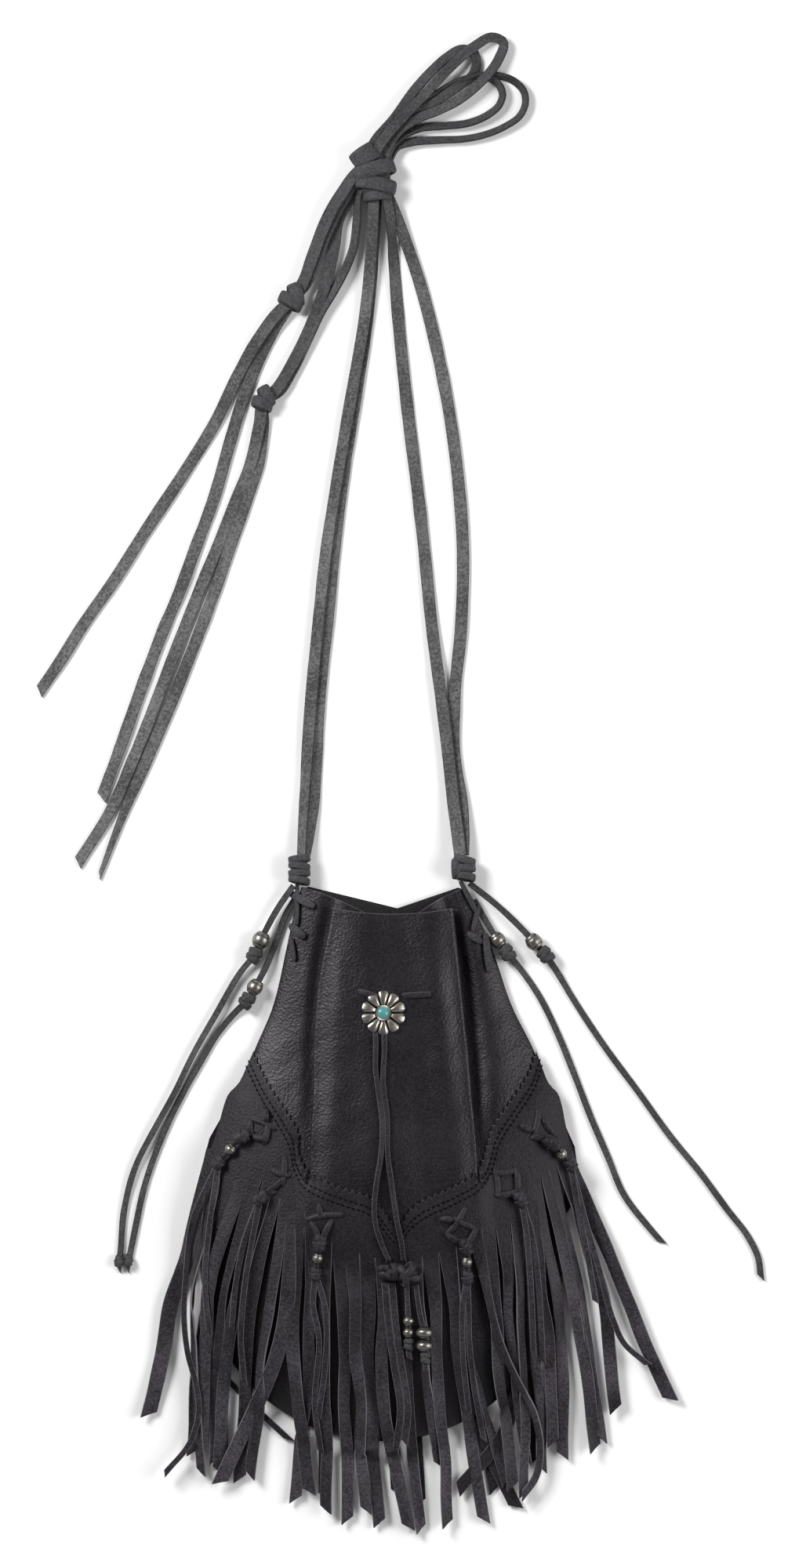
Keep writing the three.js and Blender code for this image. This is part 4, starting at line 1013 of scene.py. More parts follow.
@dataclass(frozen=True)
class Ribbon:
    """A flat strip of leather along a route, turned by a roll angle and cut slantwise at its end."""

    width: float
    thick: float
    slant: float = 0.0
    taper: float = 1.0
    ragged: float = 0.03
    cup: float = 0.0
    root: float = 0.0
    ends: float = 1.0
    trim: float = 1.0
    seed: int = 1
    tip_part: float = 0.15
    root_part: float = 0.32
    bevel_share: float = 0.28
    widest_bevel: float = 0.3

    def rings(self, path: Array, roll: Array) -> Array:
        """Sections of the strip along its route.

        Args:
            path: Even points of its centreline.
            roll: Roll about the centreline at each point, in degrees.

        Returns:
            Array of sections, points and coordinates.
        """
        tangent = unit_rows(np.gradient(path, axis=0))
        side = unit_rows(np.cross(UP, tangent))
        normal = np.cross(tangent, side)
        turn = np.radians(roll)[:, None]
        across = side * np.cos(turn) + normal * np.sin(turn)
        above = normal * np.cos(turn) - side * np.sin(turn)
        count = len(path)
        along = np.linspace(0.0, 1.0, count)
        ragged = 1.0 + self.ragged * wander(count, max(count // 5, 2), self.seed)
        narrow = 1.0 + (self.taper - 1.0) * ramp(1.0 - self.tip_part, 1.0, along)
        narrow = narrow * (self.ends + (1.0 - self.ends) * np.sin(math.pi * along) ** 0.5)
        cup = np.full((count, 1), self.cup)
        if self.root:
            ease = smoothstep(0.0, self.root_part, along)
            narrow = narrow + (self.root / self.width - 1.0) * (1.0 - ease)
            cup *= ease[:, None]
        half = (self.width / 2.0 * ragged * narrow)[:, None]
        bevel = min(self.thick * self.bevel_share, self.widest_bevel)
        flats = ((-1, 0), (-1, bevel), (0, 0), (1, bevel), (1, 0))
        corners = [(*flat, 1) for flat in flats] + [(*flat, -1) for flat in reversed(flats)]
        ring = []
        for part, inset, face in corners:
            reach = part * (half - inset)
            rise = face * (self.thick / 2.0 - (bevel if inset == 0 and part else 0.0))
            lift = rise - cup * (1.0 - (reach / half) ** 2)
            ring.append(path + across * reach + above * lift)
        rings = np.stack(ring, axis=1)
        parts = np.array([part for part, _, _ in corners], float)
        rings[-1] += tangent[-1] * (parts * self.slant)[:, None]
        return rings

    def add_to(self, draft: Draft, path: Array, roll: Values = 0.0, flesh: Values = 0.0) -> None:
        """Adds the strip to a draft.

        Args:
            draft: The mesh in the making.
            path: Even points of the centreline.
            roll: Roll in degrees, one for all points or one for each.
            flesh: How much of the flesh side shows, one for all points or one for each.
        """
        rings = self.rings(path, np.broadcast_to(np.asarray(roll, float), (len(path),)))
        edge = np.tile([self.trim, 0.0, 0.0, 0.0, self.trim], 2)
        shades = np.repeat(np.broadcast_to(np.asarray(flesh, float), (len(path),)), rings.shape[1])
        draft.tube(rings[:, ::-1], np.tile(edge, len(path)), shades)


@dataclass
class Fringe:
    """The front yoke with its fringe, and the plain yoke and fringe behind the bag."""

    pouch: Pouch
    wall: float = 1.2
    lift: float = 1.05
    edge_lift: float = 0.45
    edge_fade: float = 0.3
    edge_settle: float = 0.45
    edge_bevel: float = 0.5
    crease: float = 0.9
    crease_start: Span = (0.1, 0.4)
    crease_stop: Span = (0.7, 1.0)
    shoulder_reach: float = 3.2
    shoulder_y: float = 55.0
    shoulder_fade: Span = (4.0, 15.0)
    shoulder_columns: float = 5.0
    tooth: float = 3.5
    tooth_depth: float = 1.9
    # Rows of the yoke's mesh, as parts of the way from its edge to the cut line
    edge_levels: Row = (0.0, 0.012, 0.05)
    even_levels: Span = (0.1, 1.0)
    even_count: int = 24
    # x, y of the pinked edge, x, y of the cut line
    yoke: Route = (
        (-75.5, 76.5, -101, 18), (-68.2, 61.9, -91, 15), (-58.7, 47.5, -78, 14), (-53.8, 39.1, -70, 14),
        (-53, 27, -60, 2), (-50.5, 21.5, -57, -2), (-39.3, 14.1, -44, -12), (-27.2, 9.9, -33, -17),
        (-17.3, 6.3, -24, -21), (-12.5, 0.5, -15, -23), (-6, -7.2, -6, -24), (0, 0.5, 3, -23),
        (3.5, 3.8, 11, -21), (21.5, 12.3, 27, -16), (31, 18.4, 42, -9), (34.8, 24.3, 49, -7),
        (39.7, 40.3, 58, 4), (48.1, 52.4, 63, 14), (57.8, 66.9, 72, 22), (61, 77.1, 81, 22),
    )
    # Root x, y, knee x, y, tip x, y, width, layer, roll at mid length
    strips: Route = (
        (-97, 25, -108.9, -22.4, -126.4, -99.9, 7.4, 0, 0),
        (-94, 16, -105.1, -56.6, -100.9, -127.7, 4.4, 1, 70),
        (-87, 16, -100.5, -56.6, -105.1, -118.2, 6, 0, 8),
        (-80, 16, -97.5, -45.2, -100.5, -115.9, 6.4, 1, -10),
        (-74, 16, -92.5, -56.6, -94.8, -122.4, 5, 0, 25),
        (-68.5, 12, -87.2, -56.6, -92.5, -127.3, 6.2, 1, 0),
        (-64.5, 8, -77.7, -56.6, -82.3, -131.1, 6, 0, -14),
        (-60.5, 4, -68.2, -52.8, -77.3, -129.2, 5.4, 1, 18),
        (-57, 0, -61, -56.6, -91.8, -132.6, 7.2, 2, 0), (-53, -4, -56.4, -68, -48.5, -137.2, 6.4, 1, -8),
        (-47.5, -8.5, -49.6, -75.6, -55.3, -141, 5.8, 0, 12),
        (-41, -13.5, -40.5, -83.2, -40.5, -145.9, 5.8, 1, 0),
        (-34, -17, -30.6, -90.8, -30.2, -151.2, 5.8, 0, -16),
        (-27.5, -20, -24.5, -94.6, -21.1, -146.3, 5.8, 1, 10),
        (-20.3, -21.5, -18.4, -94.6, -14.6, -152.4, 6.2, 0, 0),
        (-13, -22.5, -10.8, -102.2, -0.6, -154.3, 6, 1, 14),
        (-5.5, -23, -1, -98.4, 5.5, -155.4, 5.4, 0, -12), (2, -22.5, 8.6, -83.2, 14.3, -124.3, 5, 0, 30),
        (10, -20.5, 15, -90.8, 18.4, -152.8, 5.6, 1, 0), (18, -18, 25.7, -79.4, 35.9, -150.9, 6, 0, 12),
        (25.7, -15.5, 31.7, -83.2, 46.6, -132.6, 4.6, 0, -62),
        (31.7, -12.5, 45.5, -70, 54.5, -139.1, 3.6, 2, 30), (38, -9.5, 42.4, -68, 50, -134.5, 6, 1, 0),
        (45, -7.5, 49.2, -60.4, 56.8, -122, 5, 0, 20), (51.5, -6, 55.3, -68, 55.3, -138.3, 4.6, 1, -30),
        (56, -2, 61.4, -68, 64, -126.2, 5, 0, 14), (58.5, 6, 67.5, -68, 69.4, -113.6, 5.6, 1, 0),
        (61.5, 12, 73.5, -60.4, 73.9, -119.7, 6, 0, -10), (65.5, 17, 80.7, -52.8, 89.9, -116.3, 6, 1, 12),
        (69, 20, 84.6, -56.6, 93.3, -112.1, 4.6, 0, -25), (73, 22, 89.1, -26.2, 99.8, -97.3, 6.4, 1, 0),
        (78, 23, 96, -22.4, 126.4, -92.3, 6.6, 0, 10),
    )
    # Points between knee and tip of the strips that curl: x, y
    curls: dict[int, Route] = field(
        default_factory=lambda: {21: ((53, -86), (60, -99), (63.4, -116), (60.6, -130.2))}
    )
    # Outline: x, y
    back_yoke: Route = (
        (-88, 50), (-8, 14), (71, 50), (80, 30), (83, 8), (62, -24), (-13, -38), (-88, -24), (-104, 8),
        (-97, 34),
    )
    # Root x, y, knee x, y, tip x, y, width, layer
    back_strips: Route = (
        (-92, -16, -98, -60, -97, -111, 6, 0), (-82, -24, -90, -70, -91, -118, 6, 0),
        (-72, -25, -78, -70, -80, -118, 6, 0), (-60, -27, -52, -80, -53, -130, 6, 0),
        (-48, -29, -42, -85, -41, -136, 6, 0), (-36, -31, -30, -88, -30, -142, 6, 0),
        (-24, -34, -20, -90, -18, -142, 6, 0), (-12, -36, -9, -92, -6, -138, 6, 0),
        (0, -34, 2, -92, 5, -143, 6, 0), (12, -31, 30, -100, 51.5, -144.6, 6.2, 1),
        (24, -29, 36, -105, 41.4, -136.4, 6, 0), (38, -27, 46, -108, 23.5, -136, 6.2, 2),
        (50, -25, 57, -80, 61, -122, 5.6, 0), (62, -22, 71, -70, 73, -112, 6, 0),
        (72, -8, 83, -60, 90, -105, 6, 0), (-95, -76, -74, -97.4, -58.3, -112.1, 2.8, 1),
    )
    tucked: float = 4.0
    front_step: float = 2.4
    back_step: float = 3.0
    bend: float = 1.5
    bearing: float = 0.4
    steepest: float = 0.5
    layer_step: float = 1.5
    layer_ramp: Span = (0.04, 0.3)
    back_ramp: Span = (0.55, 0.75)
    twist_lift: float = 0.42
    sway: float = 24.0
    sway_ramp: Span = (0.1, 0.6)
    slant: float = 2.2
    cup: float = 0.6
    # How much of the flesh side shows on the strips, and how far that varies
    flesh: Span = (0.37, 0.32)
    flesh_ramp: Span = (0.2 / 3.0, 0.4)
    margin: float = 0.1
    stitch_rows: Row = (5.8, 8.7)
    stitch_rise: float = 0.05

    def top(self, x: float, y: float) -> float:
        """Height of the yoke's upper face."""
        return self.pouch.cover(x, y) + self.lift + self.wall

    def yoke_lines(self) -> tuple[Array, Array]:
        """The pinked edge and the cut line of the front yoke, side by side.

        Returns:
            Points of the edge and of the cut line, two for each tooth.
        """
        both = curve_through(self.yoke, 1.0)
        length = distances(both[:, :2])
        even = np.linspace(0.0, length[-1], int(length[-1] / self.tooth) * 2 + 1)
        lines = np.stack([np.interp(even, length, both[:, k]) for k in range(4)], axis=1)
        return lines[:, :2], lines[:, 2:]

    def underside(self, x: float, y: float, part: float) -> float:
        """Height of the yoke's underside.

        Args:
            x: Place across.
            y: Place up the bag.
            part: Part of the way from the pinked edge to the cut line.

        Returns:
            The height, close to the pouch at the edge and creased further down.
        """
        near = max(self.pouch.height(x, y), self.pouch.seam)
        bed = near + (self.pouch.cover(x, y) - near) * smoothstep(0.0, self.edge_fade, part)
        creased = smoothstep(*self.crease_start, part) * (1.0 - smoothstep(*self.crease_stop, part))
        fold = self.crease * creased * float(self.pouch.crumple(x, y))
        settled = smoothstep(0.0, self.edge_settle, part)
        return bed + self.edge_lift + (self.lift - self.edge_lift) * settled + fold

    def add_shoulders(self, grid: Array) -> None:
        """Rounds the two ends of the yoke outwards, where it turns round the sides of the bag.

        Args:
            grid: Levels, columns and plan coordinates of the yoke, which are moved.
        """
        above = grid[..., 1] - self.shoulder_y
        fade = np.where(above > 0.0, *self.shoulder_fade)
        reach = self.shoulder_reach * np.exp(-((above / fade) ** 2))
        near = np.exp(-((np.arange(grid.shape[1]) / self.shoulder_columns) ** 2))
        grid[..., 0] += reach * (near[::-1] - near)

    def build_front(self) -> None:
        """Makes the front yoke and its strips."""
        edge, cut = self.yoke_lines()
        teeth = np.where(np.arange(len(edge)) % 2, self.tooth_depth, 0.0)
        edge = edge + unit_rows(cut - edge) * teeth[:, None]
        levels = np.concatenate([self.edge_levels, np.linspace(*self.even_levels, self.even_count)])
        grid = edge[None] + (cut - edge)[None] * levels[:, None, None]
        self.add_shoulders(grid)
        height = np.array(
            [[self.underside(x, y, part) for x, y in line] for part, line in zip(levels.tolist(), grid)]
        )
        lower = np.concatenate([grid, height[..., None]], axis=2)
        upper = lower + UP * self.wall
        upper[0, :, 2] -= self.wall * self.edge_bevel
        yoke = Draft()
        yoke.sheet(upper, lower, rim_mark=0.2, lip_mark=0.8)
        yoke.make("yoke_leather", FRINGE_LEATHER, Slot.FRINGE, 50.0, "fringe_front")
        pitch = np.gradient(np.array([row[:2] for row in self.strips]), axis=0)
        strips = Draft()
        for number, row in enumerate(self.strips):
            self.add_strip(strips, row, number, pitch[number])
        strips.make("fringe_front_strips", FRINGE_LEATHER, Slot.FRINGE, 40.0, "fringe_front")

    def strip_plan(self, row: Row, step: float, curl: Route = ()) -> Array:
        """Centreline of a strip in the plan, which starts a little above its root.

        Args:
            row: Root, knee and tip, and more that isn't read here.
            step: Distance between the points returned.
            curl: Points between knee and tip.

        Returns:
            Even points of the line.
        """
        root, knee, tip = np.array(row[:6]).reshape(3, 2)
        start = root + (root - knee) / np.linalg.norm(root - knee) * self.tucked
        return curve_through([start, root, knee, *curl, tip], step)

    def add_strip(self, draft: Draft, row: Row, number: int, pitch: Array) -> None:
        """Adds a strip of the front fringe, lying over the pouch.

        Args:
            draft: The mesh in the making.
            row: Root, knee and tip, width, layer and roll at mid length.
            number: Place in the fringe, which seeds its small bends.
            pitch: Step from root to root along the yoke.
        """
        width, layer, twist = row[6:9]
        plan = self.strip_plan(row, self.front_step, self.curls.get(number, ()))
        count = len(plan)
        along = np.linspace(0.0, 1.0, count)
        arc = np.sin(math.pi * along)
        heading = unit_rows(np.gradient(plan, axis=0))
        aside = np.column_stack([-heading[:, 1], heading[:, 0]])
        plan = plan + aside * (wander(count, 4, 40 + number) * self.bend * arc)[:, None]
        half = width * self.bearing
        left, middle, right = (
            np.array([self.pouch.cover(*place) for place in plan + aside * reach])
            for reach in (half, 0.0, -half)
        )
        tilt = np.degrees(np.clip(np.arctan2(left - right, 2.0 * half), -self.steepest, self.steepest))
        raised = layer * self.layer_step * smoothstep(*self.layer_ramp, along)
        level = np.maximum(middle, (left + right) / 2.0) + self.lift + self.wall / 2.0 + raised
        turned_up = np.sin(np.radians(abs(twist))) * width * self.twist_lift * arc**2
        path = np.column_stack([plan, level + turned_up])
        sway = self.sway * wander(count, 4, 90 + number) * ramp(*self.sway_ramp, along)
        sign = -1 if number % 2 else 1
        ribbon = Ribbon(
            width,
            self.wall - self.margin,
            slant=-sign * self.slant,
            cup=sign * self.cup,
            root=abs(float(pitch @ aside[0])) + self.margin,
            seed=number,
        )
        shown, spread = self.flesh
        flesh = np.clip(shown + spread * wander(count, 5, 140 + number), 0.0, 1.0)
        ribbon.add_to(draft, path, tilt + twist * arc**2 + sway, flesh * ramp(*self.flesh_ramp, along))

    def build_back(self) -> None:
        """Makes the yoke and the strips that the bag lies on."""
        draft = Draft()
        draft.prism(np.array(self.back_yoke, float), 0.0, self.wall)
        for k, row in enumerate(self.back_strips):
            plan = self.strip_plan(row, self.back_step)
            width, layer = row[6:8]
            outside = smoothstep(*self.back_ramp, np.linspace(0.0, 1.0, len(plan)))
            path = np.column_stack([plan, self.wall / 2.0 + layer * (self.wall + self.margin) * outside])
            slant = self.slant if k % 2 else -self.slant
            Ribbon(width, self.wall, slant=slant, seed=200 + k).add_to(draft, path)
        draft.make("fringe_back_leather", FRINGE_LEATHER, Slot.FRINGE, 40.0, "fringe_back")

    def build_stitches(self) -> None:
        """Sews two rows of stitches below the pinked edge."""
        edge, cut = self.yoke_lines()
        way = cut - edge
        reach = np.linalg.norm(way, axis=1)
        rise = self.wall + self.stitch_rise
        lines = []
        for inset in self.stitch_rows:
            parts = inset / reach
            plan = edge + way * parts[:, None]
            lines.append(np.array([(x, y, self.underside(x, y, t) + rise) for (x, y), t in zip(plan, parts)]))
        StitchLine().sew("yoke_stitches", lines)


@dataclass
class StitchLine:
    """Rows of thread stitches laid along lines by geometry nodes."""

    pitch: float = 2.6
    length: float = 1.9
    radius: float = 0.4
    segments: int = 6
    rings: int = 4
    finish: LeatherFinish = THREAD

    def tree(self) -> Tree:
        """Builds the node tree that sets a stitch at each step along a curve.

        Returns:
            The tree.
        """
        tree = bpy.data.node_groups.new("stitch_row", "GeometryNodeTree")
        sizes = dict.fromkeys(("Pitch", "Length", "Radius"), "Float")
        add_sockets(tree, "INPUT", {"Geometry": "Geometry", **sizes, "Finish": "Material"})
        add_sockets(tree, "OUTPUT", {"Geometry": "Geometry"})
        entry = tree.nodes.new("NodeGroupInput").outputs
        steps = {"Curve": entry["Geometry"], "Length": entry["Pitch"]}
        resample = add_node(tree, "GeometryNodeResampleCurve", steps, mode="LENGTH")
        ball = {"Segments": self.segments, "Rings": self.rings, "Radius": 1.0}
        stitch = add_node(tree, "GeometryNodeMeshUVSphere", ball)
        half = add_node(tree, "ShaderNodeMath", {0: entry["Length"], 1: 0.5}, operation="MULTIPLY")
        halves = {"X": entry["Radius"], "Y": entry["Radius"], "Z": half.outputs[0]}
        size = add_node(tree, "ShaderNodeCombineXYZ", halves)
        tangent = tree.nodes.new("GeometryNodeInputTangent").outputs["Tangent"]
        align = add_node(tree, "FunctionNodeAlignRotationToVector", {"Vector": tangent}, axis="Z")
        row = {
            "Points": resample.outputs["Curve"],
            "Instance": stitch.outputs["Mesh"],
            "Rotation": align.outputs["Rotation"],
            "Scale": size.outputs["Vector"],
        }
        place = add_node(tree, "GeometryNodeInstanceOnPoints", row)
        realize = add_node(tree, "GeometryNodeRealizeInstances", {"Geometry": place.outputs["Instances"]})
        dressed = {"Geometry": realize.outputs["Geometry"], "Material": entry["Finish"]}
        dress = add_node(tree, "GeometryNodeSetMaterial", dressed)
        add_node(tree, "NodeGroupOutput", {"Geometry": dress.outputs["Geometry"]})
        return tree

    def sew(self, name: str, lines: Sequence[Array]) -> None:
        """Lays stitches along lines and bakes them to a plain mesh.

        Args:
            name: Name of the piece.
            lines: Lines of points in millimetres.
        """
        curve = bpy.data.curves.new(name + "_line", "CURVE")
        curve.dimensions = "3D"
        for line in lines:
            spline = curve.splines.new("POLY")
            spline.points.add(len(line) - 1)
            spline.points.foreach_set("co", np.column_stack([line * MM, np.ones(len(line))]).ravel())
        guide = bpy.data.objects.new(name + "_line", curve)
        bpy.context.scene.collection.objects.link(guide)
        modifier = guide.modifiers.new("stitches", "NODES")
        tree = self.tree()
        modifier.node_group = tree
        sizes = {"Pitch": self.pitch * MM, "Length": self.length * MM, "Radius": self.radius * MM}
        values = {**sizes, "Finish": self.finish.material()}
        for item in tree.interface.items_tree:
            if item.in_out == "INPUT" and item.name in values:
                modifier[item.identifier] = values[item.name]
        graph = bpy.context.evaluated_depsgraph_get()
        mesh = bpy.data.meshes.new_from_object(guide.evaluated_get(graph), depsgraph=graph)
        mesh.name = name
        mesh.shade_smooth()
        bpy.data.objects.remove(guide)
        add_piece(name, mesh, Slot.LACE)


# Beads, knots and the disc


@dataclass
class Bead:
    """A drilled metal bead with a raised middle band."""

    x: float
    y: float
    z: float
    radius: float
    length: float
    bore: float
    angle: float = 90.0
    tilt: float = 0.0
    sides: int = 40
    steps: int = 17
    widest_bore: float = 0.95
    # Parts of the length and the radius
    groove_place: float = 0.3
    groove_width: float = 0.06
    groove_depth: float = 0.06
    mouth_place: float = 0.46
    groove_mark: float = 0.9
    mouth_mark: float = 0.5
    lip: float = 0.1

    def build(self, name: str, node: str) -> Piece:
        """Makes the bead.

        Args:
            name: Name of the piece.
            node: The solid that it stands for.

        Returns:
            The piece.
        """
        start = math.asin(min(self.bore / self.radius, self.widest_bore))
        turn = np.linspace(start, math.pi - start, self.steps)
        along = -(self.length / 2.0) * np.cos(turn) / math.cos(start)
        off = (np.abs(along) - self.length * self.groove_place) / (self.length * self.groove_width)
        groove = np.exp(-(off**2))
        radius = self.radius * np.sin(turn) - groove * self.radius * self.groove_depth
        mouth = np.abs(along) > self.length * self.mouth_place
        marks = np.append(groove * self.groove_mark + self.mouth_mark * mouth, [1.0, 1.0])
        radius = np.append(radius, [self.bore, self.bore])
        along = np.append(along, [along[-1] - self.lip, along[0] + self.lip])
        spin = full_turn(self.sides)
        across, up = np.outer(radius, np.cos(spin)), -np.outer(radius, np.sin(spin))
        rings = np.stack([across, np.repeat(along[:, None], self.sides, axis=1), up], axis=2)
        lean, head = math.radians(self.tilt), math.radians(self.angle - 90.0)
        (cos_x, sin_x), (cos_z, sin_z) = ((math.cos(angle), math.sin(angle)) for angle in (lean, head))
        turn_x = np.array([[1, 0, 0], [0, cos_x, -sin_x], [0, sin_x, cos_x]])
        turn_z = np.array([[cos_z, -sin_z, 0], [sin_z, cos_z, 0], [0, 0, 1]])
        rings = rings @ (turn_z @ turn_x).T + np.array([self.x, self.y, self.z])
        draft = Draft()
        draft.tube(rings[:, ::-1], np.repeat(marks, self.sides), looped=True)
        return draft.make(name, PEWTER, Slot.PEWTER, 50.0, node)


def signed_power(values: Array, power: float) -> Array:
    """Values raised to a power with their signs kept."""
    return np.sign(values) * np.abs(values) ** power


@dataclass
class Wrap:
    """One turn of lace round a knot."""

    x: float
    y: float
    z: float
    angle: float
    reach: float
    rise: float
    width: float
    thick: float = 1.8
    skew: float = 0.0
    skew_lag: float = 0.6
    flat_power: float = 0.6
    puff_power: float = 0.8
    edge_place: float = 0.47
    edge_mark: float = 0.5
    flesh: float = 0.2
    steps: int = 40
    sides: int = 14

    def add_to(self, draft: Draft) -> None:
        """Adds the turn to a draft.

        Args:
            draft: The mesh in the making.
        """
        axis, aside = plan_axes(self.angle)
        section = full_turn(self.sides)
        flat = signed_power(np.cos(section), self.flat_power) * self.width / 2.0
        puff = signed_power(np.sin(section), self.puff_power) * self.thick / 2.0
        rings = []
        for phi in full_turn(self.steps):
            out = aside * math.cos(phi) * self.reach + UP * math.sin(phi) * self.rise
            away = out / np.linalg.norm(out)
            shift = axis * self.skew * math.sin(phi + self.skew_lag)
            middle = out - away * (self.thick / 2.0) + shift
            rings.append(middle + axis * flat[:, None] + away * puff[:, None])
        turn = np.array(rings)[:, ::-1] + np.array([self.x, self.y, self.z])
        marks = np.where(np.abs(flat) > self.width * self.edge_place, self.edge_mark, 0.0)
        draft.tube(turn, np.tile(marks[::-1], self.steps), self.flesh, looped=True)


@dataclass
class Knot:
    """A knot of wrapped lace round a dark core."""

    wraps: Sequence[Wrap]
    # x, y, z, half length, half width, half height, angle
    core: Row
    finish: LeatherFinish = LACE_LEATHER
    core_power: float = 0.6
    core_end: float = 0.12
    core_steps: int = 12
    core_sides: int = 20

    def build(self, name: str, *nodes: str) -> Piece:
        """Makes the knot.

        Args:
            name: Name of the piece.
            nodes: Solids that it stands for.

        Returns:
            The piece.
        """
        draft = Draft()
        self.add_to(draft)
        return draft.make(name, self.finish, Slot.LACE, 60.0, *nodes)

    def add_to(self, draft: Draft) -> None:
        """Adds the knot to a draft.

        Args:
            draft: The mesh in the making.
        """
        for wrap in self.wraps:
            wrap.add_to(draft)
        x, y, z, along, across, high, angle = self.core
        axis, aside = plan_axes(angle)
        spin = full_turn(self.core_sides)
        rings = []
        for turn in np.linspace(self.core_end, math.pi - self.core_end, self.core_steps):
            full = math.sin(turn) ** self.core_power
            ring = np.outer(np.cos(spin) * across * full, aside) + np.outer(np.sin(spin) * high * full, UP)
            rings.append(ring - axis * along * math.cos(turn) + np.array([x, y, z]))
        draft.tube(np.array(rings)[:, ::-1])


@dataclass(frozen=True)
class SmallTurn:
    """The sizes of a small knot's turn, as parts of the knot's radius and length."""

    reach: float
    rise: float
    width: float
    thick: float
    skew: float

    def wrap(self, place: Array, angle: float, radius: float, length: float) -> Wrap:
        """Makes the turn of a knot of some radius and length at a place, its axis at an angle of the plan."""
        sizes = (radius * self.reach, radius * self.rise, length * self.width, radius * self.thick)
        return Wrap(*place, angle, *sizes, self.skew)


PAIRED_TURN = SmallTurn(reach=0.92, rise=0.9, width=0.52, thick=0.55, skew=0.3)
CROSS_TURN = SmallTurn(reach=1.0, rise=0.95, width=0.42, thick=0.5, skew=0.8)
# Part of the knot's length off its middle, lean in degrees
PAIR = ((-0.26, -12.0), (0.26, 14.0))
CROSS_LEAN = 38.0
CROSS_LIFT = 0.2
# Half length, half width and half height of the core, as parts of the knot's length and radius
CORE = (0.5, 0.75, 0.72)


def small_knot(
    x: float, y: float, z: float, angle: float, radius: float, length: float, style: Wrapping
) -> Knot:
    """A small knot of two or three turns.

    Args:
        x: Place across.
        y: Place up the bag.
        z: Height of its middle.
        angle: Direction of its axis in the plan, in degrees.
        radius: Reach of its turns.
        length: Length along its axis.
        style: How the turns lie.

    Returns:
        The knot.
    """
    middle, axis = np.array([x, y, z]), plan_axes(angle)[0]
    wraps = []
    for part, lean in PAIR:
        wraps.append(PAIRED_TURN.wrap(middle + axis * length * part, angle + lean, radius, length))
    if style is Wrapping.CROSSED:
        wraps.append(CROSS_TURN.wrap(middle + UP * CROSS_LIFT, angle + CROSS_LEAN, radius, length))
    along, across, high = CORE
    return Knot(wraps, (x, y, z, length * along, radius * across, radius * high, angle))


